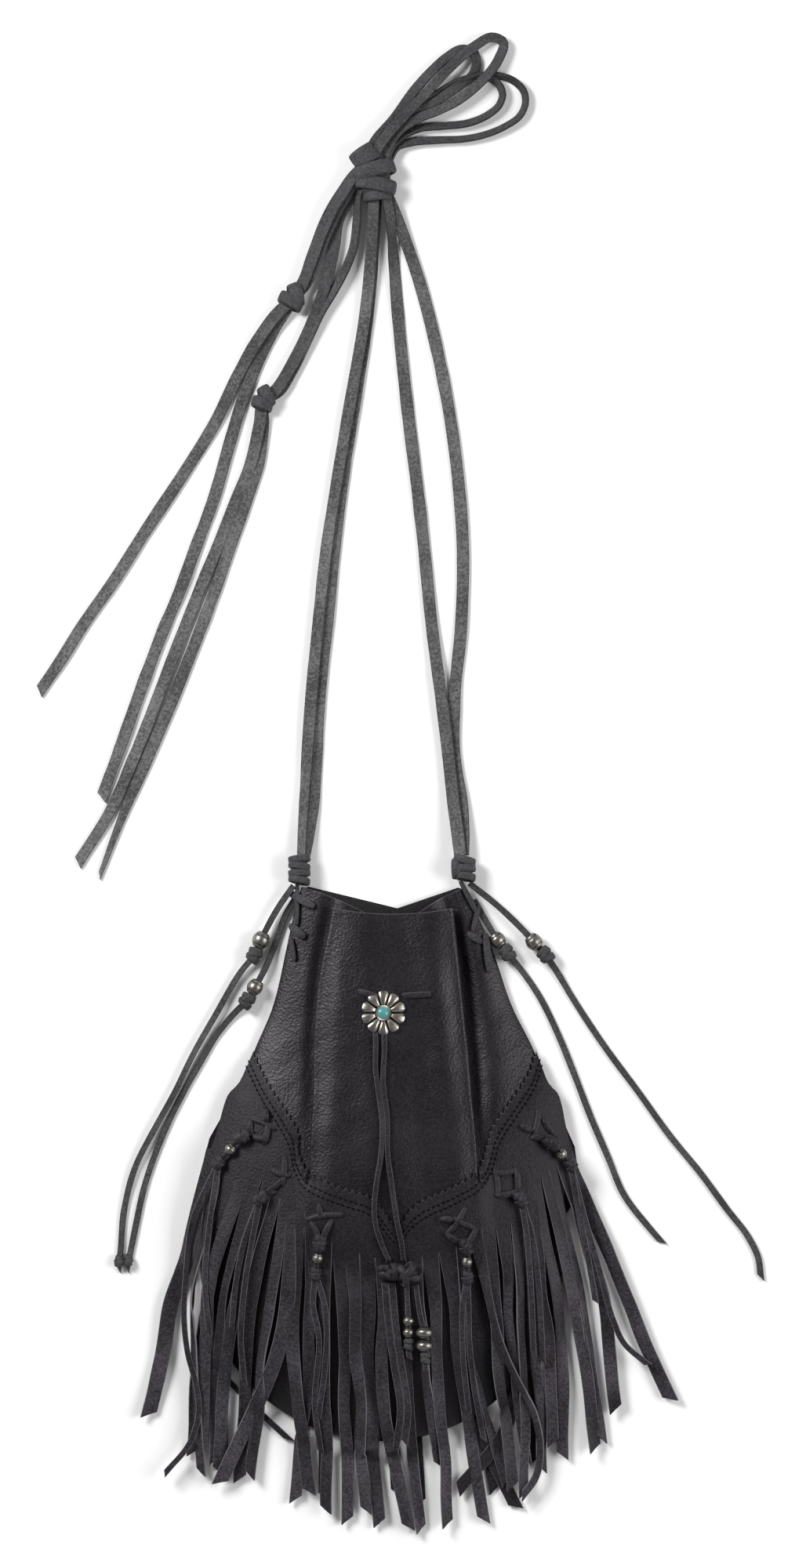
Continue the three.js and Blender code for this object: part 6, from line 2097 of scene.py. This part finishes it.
@dataclass
class Drawstring:
    """The drawstring on the front: bar, two strands, centre knot, tails and their beads."""

    pouch: Pouch
    on_fringe: float = 4.75
    bar: Ribbon = Ribbon(2.7, 1.3, cup=-0.4, ends=0.7)
    strand: LaceCut = LaceCut(2.4, 1.3, 0.0, cup=-0.3, flesh=((0, 0.1), (1, 0.15)), finish=FRINGE_LEATHER)
    plain: LaceCut = LaceCut(3.4, 1.2, 1.6, finish=FRINGE_LEATHER)
    beaded: LaceCut = LaceCut(2.4, 1.2, 0.8, finish=FRINGE_LEATHER)
    # x, y of both ends of the lace between two slits
    bars: Route = ((-24.6, 105.6, -15.4, 102.8), (-3.4, 103.4, 10.2, 104.2))
    bar_lift: float = 0.2
    bar_arch: float = 0.9
    bar_power: float = 0.6
    bar_steps: int = 15
    bar_flesh: float = 0.15
    # x, y, height above the bag
    strands: dict[str, Route] = field(default_factory=lambda: {
        "left": (
            (-16.6, 85.7, 0.8), (-16.4, 82, 1.2), (-16.5, 68.8, 1.4), (-14.6, 53.6, 1.4),
            (-13.3, 42.2, 1.5), (-13.8, 27, 1.6), (-16.2, 11.8, 2.6), (-16.9, -3.4, 3.3),
            (-13.6, -16, 3.3), (-10, -24, 3.6),
        ),
        "right": (
            (-12.4, 85, 0.8), (-12.2, 81, 1.2), (-12.8, 61, 1.4), (-11, 46, 1.7), (-10.6, 27, 1.9),
            (-8.6, 11.8, 2.4), (-5.7, -7.2, 3.3), (-3.6, -18, 3.3), (-3, -24, 3.6),
        ),
    })
    strand_step: float = 4.0
    # x, y
    plain_tails: tuple[Route, ...] = (
        ((-12, -35), (-10.1, -56.2), (-7.4, -75.2), (-4.4, -98), (-6.7, -116.4)),
        ((-8.6, -35), (-6.6, -56.2), (-3.9, -75.2), (-0.9, -98), (-2.4, -113)),
    )
    plain_step: float = 5.0
    # x at the start, x of the beads, y of each, their radius, x and y of the end knot
    bead_tails: dict[str, Row] = field(default_factory=lambda: {
        "small": (-1.4, -0.6, -53.4, -59.0, 2.85, -0.5, -64.8),
        "large": (3.0, 7.1, -59.0, -65.3, 4.3, 7.6, -71.4),
    })
    bead_tail_start: float = -36.0
    bead_tail_bend: float = 9.0
    # Steps from the end knot to the last two points of the tail: x, y
    bead_tail_end: Route = ((0.0, -3.5), (0.6, -7.0))
    bead_rest: float = 2.55
    bead_longer: float = 1.5
    bead_bore: float = 1.5
    # Radius, length
    end_knot: Span = (2.7, 5.2)
    knot_lift: float = 4.3
    # Turns of the knot: x, y, height over its middle, angle, reach, rise, width, thickness, skew
    knot_turns: Route = (
        (-12.4, -28.0, -0.6, 100, 3.6, 3.2, 3.0, 1.8, 0.6),
        (-11.8, -31.4, -0.6, 82, 3.9, 3.3, 3.0, 1.8, 0.6),
        (-7.6, -29.4, -0.2, 16, 4.4, 3.6, 3.2, 2.0, 1.0),
        (-3.6, -31.2, 0.2, 34, 5.8, 4.4, 3.6, 2.4, 1.4),
        (-1.2, -29.0, 0.5, -32, 5.6, 4.4, 3.4, 2.4, 1.2),
        (1.6, -31.6, 0.0, 68, 4.6, 3.8, 3.2, 2.2, -1.0),
    )
    knot_core: Row = (-4.6, -30.2, -0.3, 8.6, 3.6, 3.0, 0)

    def on(self, x: float, y: float, above: float) -> Row:
        """A point that lies a height above the bag."""
        return (x, y, self.pouch.cover(x, y) + above)

    def build(self) -> None:
        """Makes the bar, the strands, the knot and the tails."""
        self.build_bar()
        self.build_knot()
        for k, (side, rows) in enumerate(self.strands.items()):
            route = [self.on(*row) for row in curve_through(rows, self.strand_step)]
            nodes = (f"drawstring_{side}",)
            Lace(f"drawstring_{side}_lace", route, self.strand, 510 + k, nodes, End.KNOT).build()
        for k, plan in enumerate(self.plain_tails):
            route = [self.on(x, y, self.on_fringe) for x, y in curve_through(plan, self.plain_step)]
            nodes = ("drawstring_tail_plain",)
            Lace(f"drawstring_tail_{k + 1}", route, self.plain, 520 + k, nodes).build()
        for k, name in enumerate(self.bead_tails):
            self.build_bead_tail(name, k)

    def build_bar(self) -> None:
        """Makes the lace that shows between the slits."""
        draft = Draft()
        bow = np.sin(np.linspace(0.0, math.pi, self.bar_steps)) ** self.bar_power
        for k, (x0, y0, x1, y1) in enumerate(self.bars):
            plan = np.linspace((x0, y0), (x1, y1), self.bar_steps)
            rise = self.bar_lift + self.bar_arch * bow
            path = np.array([self.on(x, y, up) for (x, y), up in zip(plan, rise)])
            replace(self.bar, seed=500 + k).add_to(draft, path, flesh=self.bar_flesh)
        draft.make("drawstring_bar_lace", FRINGE_LEATHER, Slot.LACE, 40.0, "drawstring_bar")

    def build_knot(self) -> None:
        """Makes the wide knot where the strands are tied."""
        middle = float(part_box("drawstring_knot")[0][2]) / MM + self.knot_lift
        wraps = [Wrap(x, y, middle + over, *sizes) for x, y, over, *sizes in self.knot_turns]
        x, y, over, *sizes = self.knot_core
        knot = Knot(wraps, (x, y, middle + over, *sizes), FRINGE_LEATHER)
        knot.build("drawstring_knot_lace", "drawstring_knot")

    def build_bead_tail(self, name: str, pair: int) -> None:
        """Makes a short tail with two beads and an end knot.

        Args:
            name: Small or large.
            pair: Number of the pair of beads.
        """
        start_x, x, first, second, radius, knot_x, knot_y = self.bead_tails[name]
        above = self.bead_rest + radius
        pieces = []
        for number, y in enumerate((first, second), 2 * pair + 1):
            bead = Bead(*self.on(x, y, above), radius, radius + self.bead_longer, self.bead_bore)
            pieces.append(bead.build(f"drawstring_bead_{number}_pewter", f"drawstring_bead_{number}"))
        knot = small_knot(*self.on(knot_x, knot_y, above), 90.0, *self.end_knot, Wrapping.STACKED)
        pieces.append(knot.build(f"drawstring_tail_{name}_knot"))
        plan = [(start_x, self.bead_tail_start), ((start_x + x) / 2.0, first + self.bead_tail_bend)]
        plan += [(x, first), (x, second)]
        plan += [(knot_x + step_x, knot_y + step_y) for step_x, step_y in self.bead_tail_end]
        route = [self.on(*place, above) for place in plan]
        ends = ((f"drawstring_tail_{name}",), End.KNOT)
        Lace(f"drawstring_tail_{name}_lace", route, self.beaded, 530 + pair, *ends, pieces=pieces).build()


@dataclass(frozen=True)
class TiePlan:
    """The plan of one tie: its bars, where its stem starts, its knots and its two tails.

    A row of the bars is x and y of both ends, and every other row is x and y. A tie that has a stop knot has
    a bead above it. The lift raises all but the bars.
    """

    bars: Route
    start: Span
    knot: Span
    tail_a: Route
    tail_b: Route
    stop: Span | None = None
    lift: float = 0.0


TIE_PLANS = (
    TiePlan(
        bars=(
            (-76.4, 43.5, -65.1, 38.7), (-76.4, 42.9, -77, 36.4), (-68.6, 41.7, -70.4, 32.2),
            (-76.4, 35.8, -68.9, 34), (-69.8, 48.8, -69.6, 42.7),
        ),
        start=(-75.5, 37.5),
        knot=(-81, 35.4),
        tail_a=(
            (-105.4, -7.2), (-108.1, -30), (-109.2, -52.8), (-107.4, -69.9), (-103.4, -85.1), (-102, -98.4),
            (-106.2, -112.9), (-118.6, -128.2),
        ),
        tail_b=((-97, -10), (-99, -34), (-97, -60)),
        stop=(-92.3, 22.6),
        lift=0.3,
    ),
    TiePlan(
        bars=((-60.7, 25.7, -61.8, 12), (-67.1, 19.7, -58.2, 16.5), (-74, 6.3, -64.8, 8.7)),
        start=(-62, 14),
        knot=(-72, 6),
        tail_a=((-77, -20), (-80, -40), (-81.6, -62), (-80, -84)),
        tail_b=((-80, -16), (-84, -36), (-86, -58)),
    ),
    TiePlan(
        bars=(
            (-49.9, -4.6, -32.1, -2.2), (-43.5, 3.1, -42.5, -2.8), (-47.5, -5.8, -43.1, -15.9),
            (-37.5, -4.6, -42.3, -16.5),
        ),
        start=(-43, -12),
        knot=(-43.4, -15.5),
        tail_a=((-46.6, -45), (-43.9, -60.4), (-45.8, -94.6), (-43.1, -117.4)),
        tail_b=((-41, -46), (-40, -58), (-40.9, -75.6), (-44, -100)),
        stop=(-45.4, -30.5),
    ),
    TiePlan(
        bars=(
            (26.6, 1.1, 17.6, -11.5), (21.1, -3.7, 32.4, -8.8), (32.2, -7.9, 26.2, -17.9),
            (17.6, -11.1, 26.6, -16.2), (14.5, -4.6, 20.7, -4.4),
        ),
        start=(26.3, -14.5),
        knot=(27.2, -17.5),
        tail_a=((28.4, -46), (28.6, -60.4), (30.8, -83.2), (36, -112)),
        tail_b=((25.6, -46), (25.4, -62), (28.5, -98)),
        stop=(27.9, -32.2),
    ),
    TiePlan(
        bars=(
            (41.1, 19.7, 42.3, 6.3), (40.5, 17.7, 51.5, 19.1), (51.1, 20.1, 52, 8.5), (41.6, 7, 52.7, 9.2),
        ),
        start=(51.5, 9.2),
        knot=(53.8, 5.3),
        tail_a=((59, -12), (62, -34), (64.4, -74)),
        tail_b=((56.5, -12), (58.2, -32), (60, -70)),
    ),
    TiePlan(
        bars=(
            (62, 48.2, 59.3, 34.8), (64.6, 43.8, 71, 34.8), (58.9, 34.6, 66.3, 33.2),
            (53.9, 40.8, 59.1, 37.9),
        ),
        start=(65.5, 34.5),
        knot=(68.6, 32),
        tail_a=((84.6, -4), (92, -30), (98.6, -54), (103, -64), (115.4, -75.4)),
        tail_b=((82, -2), (86, -22), (90, -45)),
        stop=(78, 21.4),
        lift=1.3,
    ),
)


@dataclass
class Ties:
    """Lace ties through the yoke, each a cross with a knot and two tails, four of them with a bead."""

    fringe: Fringe
    plans: tuple[TiePlan, ...] = TIE_PLANS
    rise: float = 3.5
    bar: Ribbon = Ribbon(2.7, 1.4, cup=-0.5, ends=0.6, trim=0.4)
    stem: Ribbon = Ribbon(2.2, 1.2, trim=0.4)
    tail: LaceCut = LaceCut(2.8, 1.1, 1.2, finish=FRINGE_LEATHER)
    bar_sink: float = 0.3
    # Height of the arch of the first bar, and what each further one adds
    bar_arch: Span = (0.6, 0.5)
    bar_bend: float = 0.06
    bar_steps: int = 9
    bar_flesh: float = 0.15
    step: float = 1.0
    # Height of the stem above the yoke at its start, and above the straight line half way to the knot
    stem_lift: Span = (1.2, 0.6)
    # Radius, length
    knot_size: Span = (3.4, 7.4)
    stop_size: Span = (3.1, 5.6)
    # Radius, length, bore
    bead_size: Row = (2.75, 4.8, 1.5)
    tail_step: float = 5.0
    tail_settle: float = 6.0

    def build(self) -> None:
        """Makes every tie."""
        for k, plan in enumerate(self.plans):
            self.build_tie(str(k + 1), plan, 600 + 10 * k)

    def above(self, x: float, y: float, plan: TiePlan) -> float:
        """Height of a tie's knots and tails at a place of the yoke or the fringe."""
        return self.fringe.top(x, y) + self.rise + plan.lift

    def add_bars(self, draft: Draft, bars: Route, seed: int) -> None:
        """Adds the lace that shows between slits of the yoke.

        Args:
            draft: The mesh in the making.
            bars: Both ends of each bar in the plan.
            seed: Seed of the small bends.
        """
        part = np.linspace(-1.0, 1.0, self.bar_steps)
        bow = 1.0 - part**4
        lowest, more = self.bar_arch
        for k, (from_x, from_y, to_x, to_y) in enumerate(bars):
            line_x = (from_x + to_x + (to_x - from_x) * part) / 2.0
            line_y = (from_y + to_y + (to_y - from_y) * part) / 2.0
            aside = self.bar_bend * (-1) ** k * (1.0 - part**2)
            line = np.column_stack([line_x - aside * (to_y - from_y), line_y + aside * (to_x - from_x)])
            rise = (lowest + more * k) * bow - self.bar_sink
            path = [(x, y, self.fringe.top(x, y) + up) for (x, y), up in zip(line, rise)]
            bar = replace(self.bar, seed=seed + k)
            bar.add_to(draft, curve_through(path, self.step), flesh=self.bar_flesh)

    def build_tie(self, name: str, plan: TiePlan, seed: int) -> None:
        """Makes one tie.

        Args:
            name: Number of the tie.
            plan: Its bars, start, knots, lift and tails.
            seed: Seed of its small bends.
        """
        draft = Draft()
        self.add_bars(draft, plan.bars, seed)
        x, y = plan.start
        start_z = self.fringe.top(x, y)
        last = (*plan.knot, self.above(*plan.knot, plan))
        start_lift, middle_lift = self.stem_lift
        half_way = ((x + last[0]) / 2.0, (y + last[1]) / 2.0, (start_z + last[2]) / 2.0 + middle_lift)
        stem = [(x, y, start_z + start_lift), half_way, last]
        angle = math.degrees(math.atan2(last[1] - y, last[0] - x))
        small_knot(*last, angle, *self.knot_size, Wrapping.CROSSED).add_to(draft)
        beads = []
        if plan.stop:
            stop = (*plan.stop, self.above(*plan.stop, plan))
            middle = (np.array(last) + np.array(stop)) / 2.0
            way_x, way_y, way_z = (end - start for start, end in zip(last, stop))
            angle = math.degrees(math.atan2(way_y, way_x))
            tilt = math.degrees(math.atan2(way_z, math.hypot(way_x, way_y)))
            bead = Bead(*middle, *self.bead_size, angle, tilt)
            beads.append(bead.build(f"tie_bead_{name}_pewter", f"tie_bead_{name}"))
            stem += [tuple(middle), stop]
            small_knot(*stop, angle, *self.stop_size, Wrapping.CROSSED).add_to(draft)
            last = stop
        replace(self.stem, seed=seed + 5).add_to(draft, curve_through(stem, self.step))
        tie = draft.make(f"tie_{name}_lace", FRINGE_LEATHER, Slot.LACE, 60.0, f"tie_{name}")
        tails = (("a", plan.tail_a, [tie, *beads]), ("b", plan.tail_b, []))
        for k, (letter, tail, pieces) in enumerate(tails):
            line = curve_through([last[:2], *tail], self.tail_step)
            ease = np.clip(np.linspace(0.0, 1.0, len(line)) * self.tail_settle, 0.0, 1.0)
            route = [
                (px, py, last[2] * (1 - part) + self.above(px, py, plan) * part)
                for (px, py), part in zip(line, ease)
            ]
            Lace(f"tie_{name}_tail_{letter}", route, self.tail, seed + 6 + k, pieces=pieces).build()


# The studio


@dataclass
class Studio:
    """A plain pale floor, soft light from the upper left and a camera straight above."""

    centre: Span = (-3.2, 205.6)
    frame_height: float = 760.0
    distance: float = 5000.0
    sensor: float = 36.0
    clip_end: float = 20.0
    air_overhead: float = 0.12
    air_around: float = 0.55
    air_fade: Span = (0.2, 0.95)
    floor_reach: float = 6.0
    floor_colour: Colour = (0.92, 0.92, 0.92)
    floor_roughness: float = 0.9
    floor_specular: float = 0.1
    # x, y, z from the middle of the view and size in metres, power in watts
    lights: dict[str, Row] = field(
        default_factory=lambda: {"key": (-1.1, 0.8, 1.2, 0.65, 34.0), "fill": (1.3, -0.1, 1.0, 0.9, 17.0)}
    )

    def build(self) -> None:
        """Sets up floor, lights, air and camera."""
        self.build_floor()
        for name, (*place, size, power) in self.lights.items():
            self.build_light(name, np.array(place), size, power)
        self.build_air()
        camera = bpy.data.cameras.new("photo_camera")
        camera.sensor_width = self.sensor
        camera.lens = self.sensor * self.distance / self.frame_height
        camera.clip_end = self.clip_end
        place = bpy.data.objects.new("photo_camera", camera)
        place.location = (self.centre[0] * MM, self.centre[1] * MM, self.distance * MM)
        bpy.context.scene.collection.objects.link(place)
        bpy.context.scene.camera = place

    def build_air(self) -> None:
        """Sets up the white air, which is darker overhead, and plain colours."""
        world = bpy.data.worlds.new("studio_air")
        world.use_nodes = True
        tree = world.node_tree
        direction = tree.nodes.new("ShaderNodeTexCoord").outputs["Generated"]
        up = add_node(tree, "ShaderNodeSeparateXYZ", {"Vector": direction}).outputs["Z"]
        strength = map_range(tree, up, self.air_fade, (self.air_around, self.air_overhead))
        set_inputs(tree, tree.nodes["Background"], {"Color": (1.0, 1.0, 1.0, 1.0), "Strength": strength})
        bpy.context.scene.world = world
        bpy.context.scene.view_settings.view_transform = "Standard"

    def build_floor(self) -> None:
        """Lays the floor."""
        mesh = bpy.data.meshes.new("studio_floor")
        far = self.floor_reach
        mesh.from_pydata([(-far, -far, 0), (far, -far, 0), (far, far, 0), (-far, far, 0)], [], [(0, 1, 2, 3)])
        material = bpy.data.materials.new("studio_floor")
        material.use_nodes = True
        tree = material.node_tree
        looks = {
            "Base Color": (*self.floor_colour, 1.0),
            "Roughness": self.floor_roughness,
            "Specular IOR Level": self.floor_specular,
        }
        set_inputs(tree, tree.nodes["Principled BSDF"], looks)
        mesh.materials.append(material)
        floor = bpy.data.objects.new("studio_floor", mesh)
        bpy.context.scene.collection.objects.link(floor)
        floor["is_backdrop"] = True

    def build_light(self, name: str, place: Array, size: float, power: float) -> None:
        """Hangs a square soft light that faces the bag.

        Args:
            name: Name of the light.
            place: Where it hangs, in metres from the middle of the view.
            size: Side of the light in metres.
            power: Power in watts.
        """
        light = bpy.data.lights.new(name, "AREA")
        light.size = size
        light.energy = power
        lamp = bpy.data.objects.new(name, light)
        lamp.location = np.array([*self.centre, 0.0]) * MM + place
        away = place / np.linalg.norm(place)
        lamp.rotation_euler = (math.acos(away[2]), 0.0, math.atan2(away[1], away[0]) + math.pi / 2.0)
        bpy.context.scene.collection.objects.link(lamp)


def write_sizes() -> None:
    """Turns the solids' box and the dressed bag's box into JSON text, which is not kept."""
    boxes = {"cad": CAD_BOX, "visual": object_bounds()}
    plain = {name: [[float(v) for v in corner] for corner in box] for name, box in boxes.items()}
    json.dumps(plain, indent=1)


def main() -> None:
    """Builds the sub-assemblies in order."""
    logging.basicConfig(level=logging.INFO, format="%(name)s %(message)s")
    Studio().build()
    pouch = Pouch()
    pouch.build_front()
    pouch.build_back()
    fringe = Fringe(pouch)
    fringe.build_front()
    fringe.build_back()
    fringe.build_stitches()
    Concho(pouch).build()
    Drawstring(pouch).build()
    Ties(fringe).build()
    Corners(pouch).build()
    Strap().build()
    write_sizes()


if __name__ == "__main__":
    main()
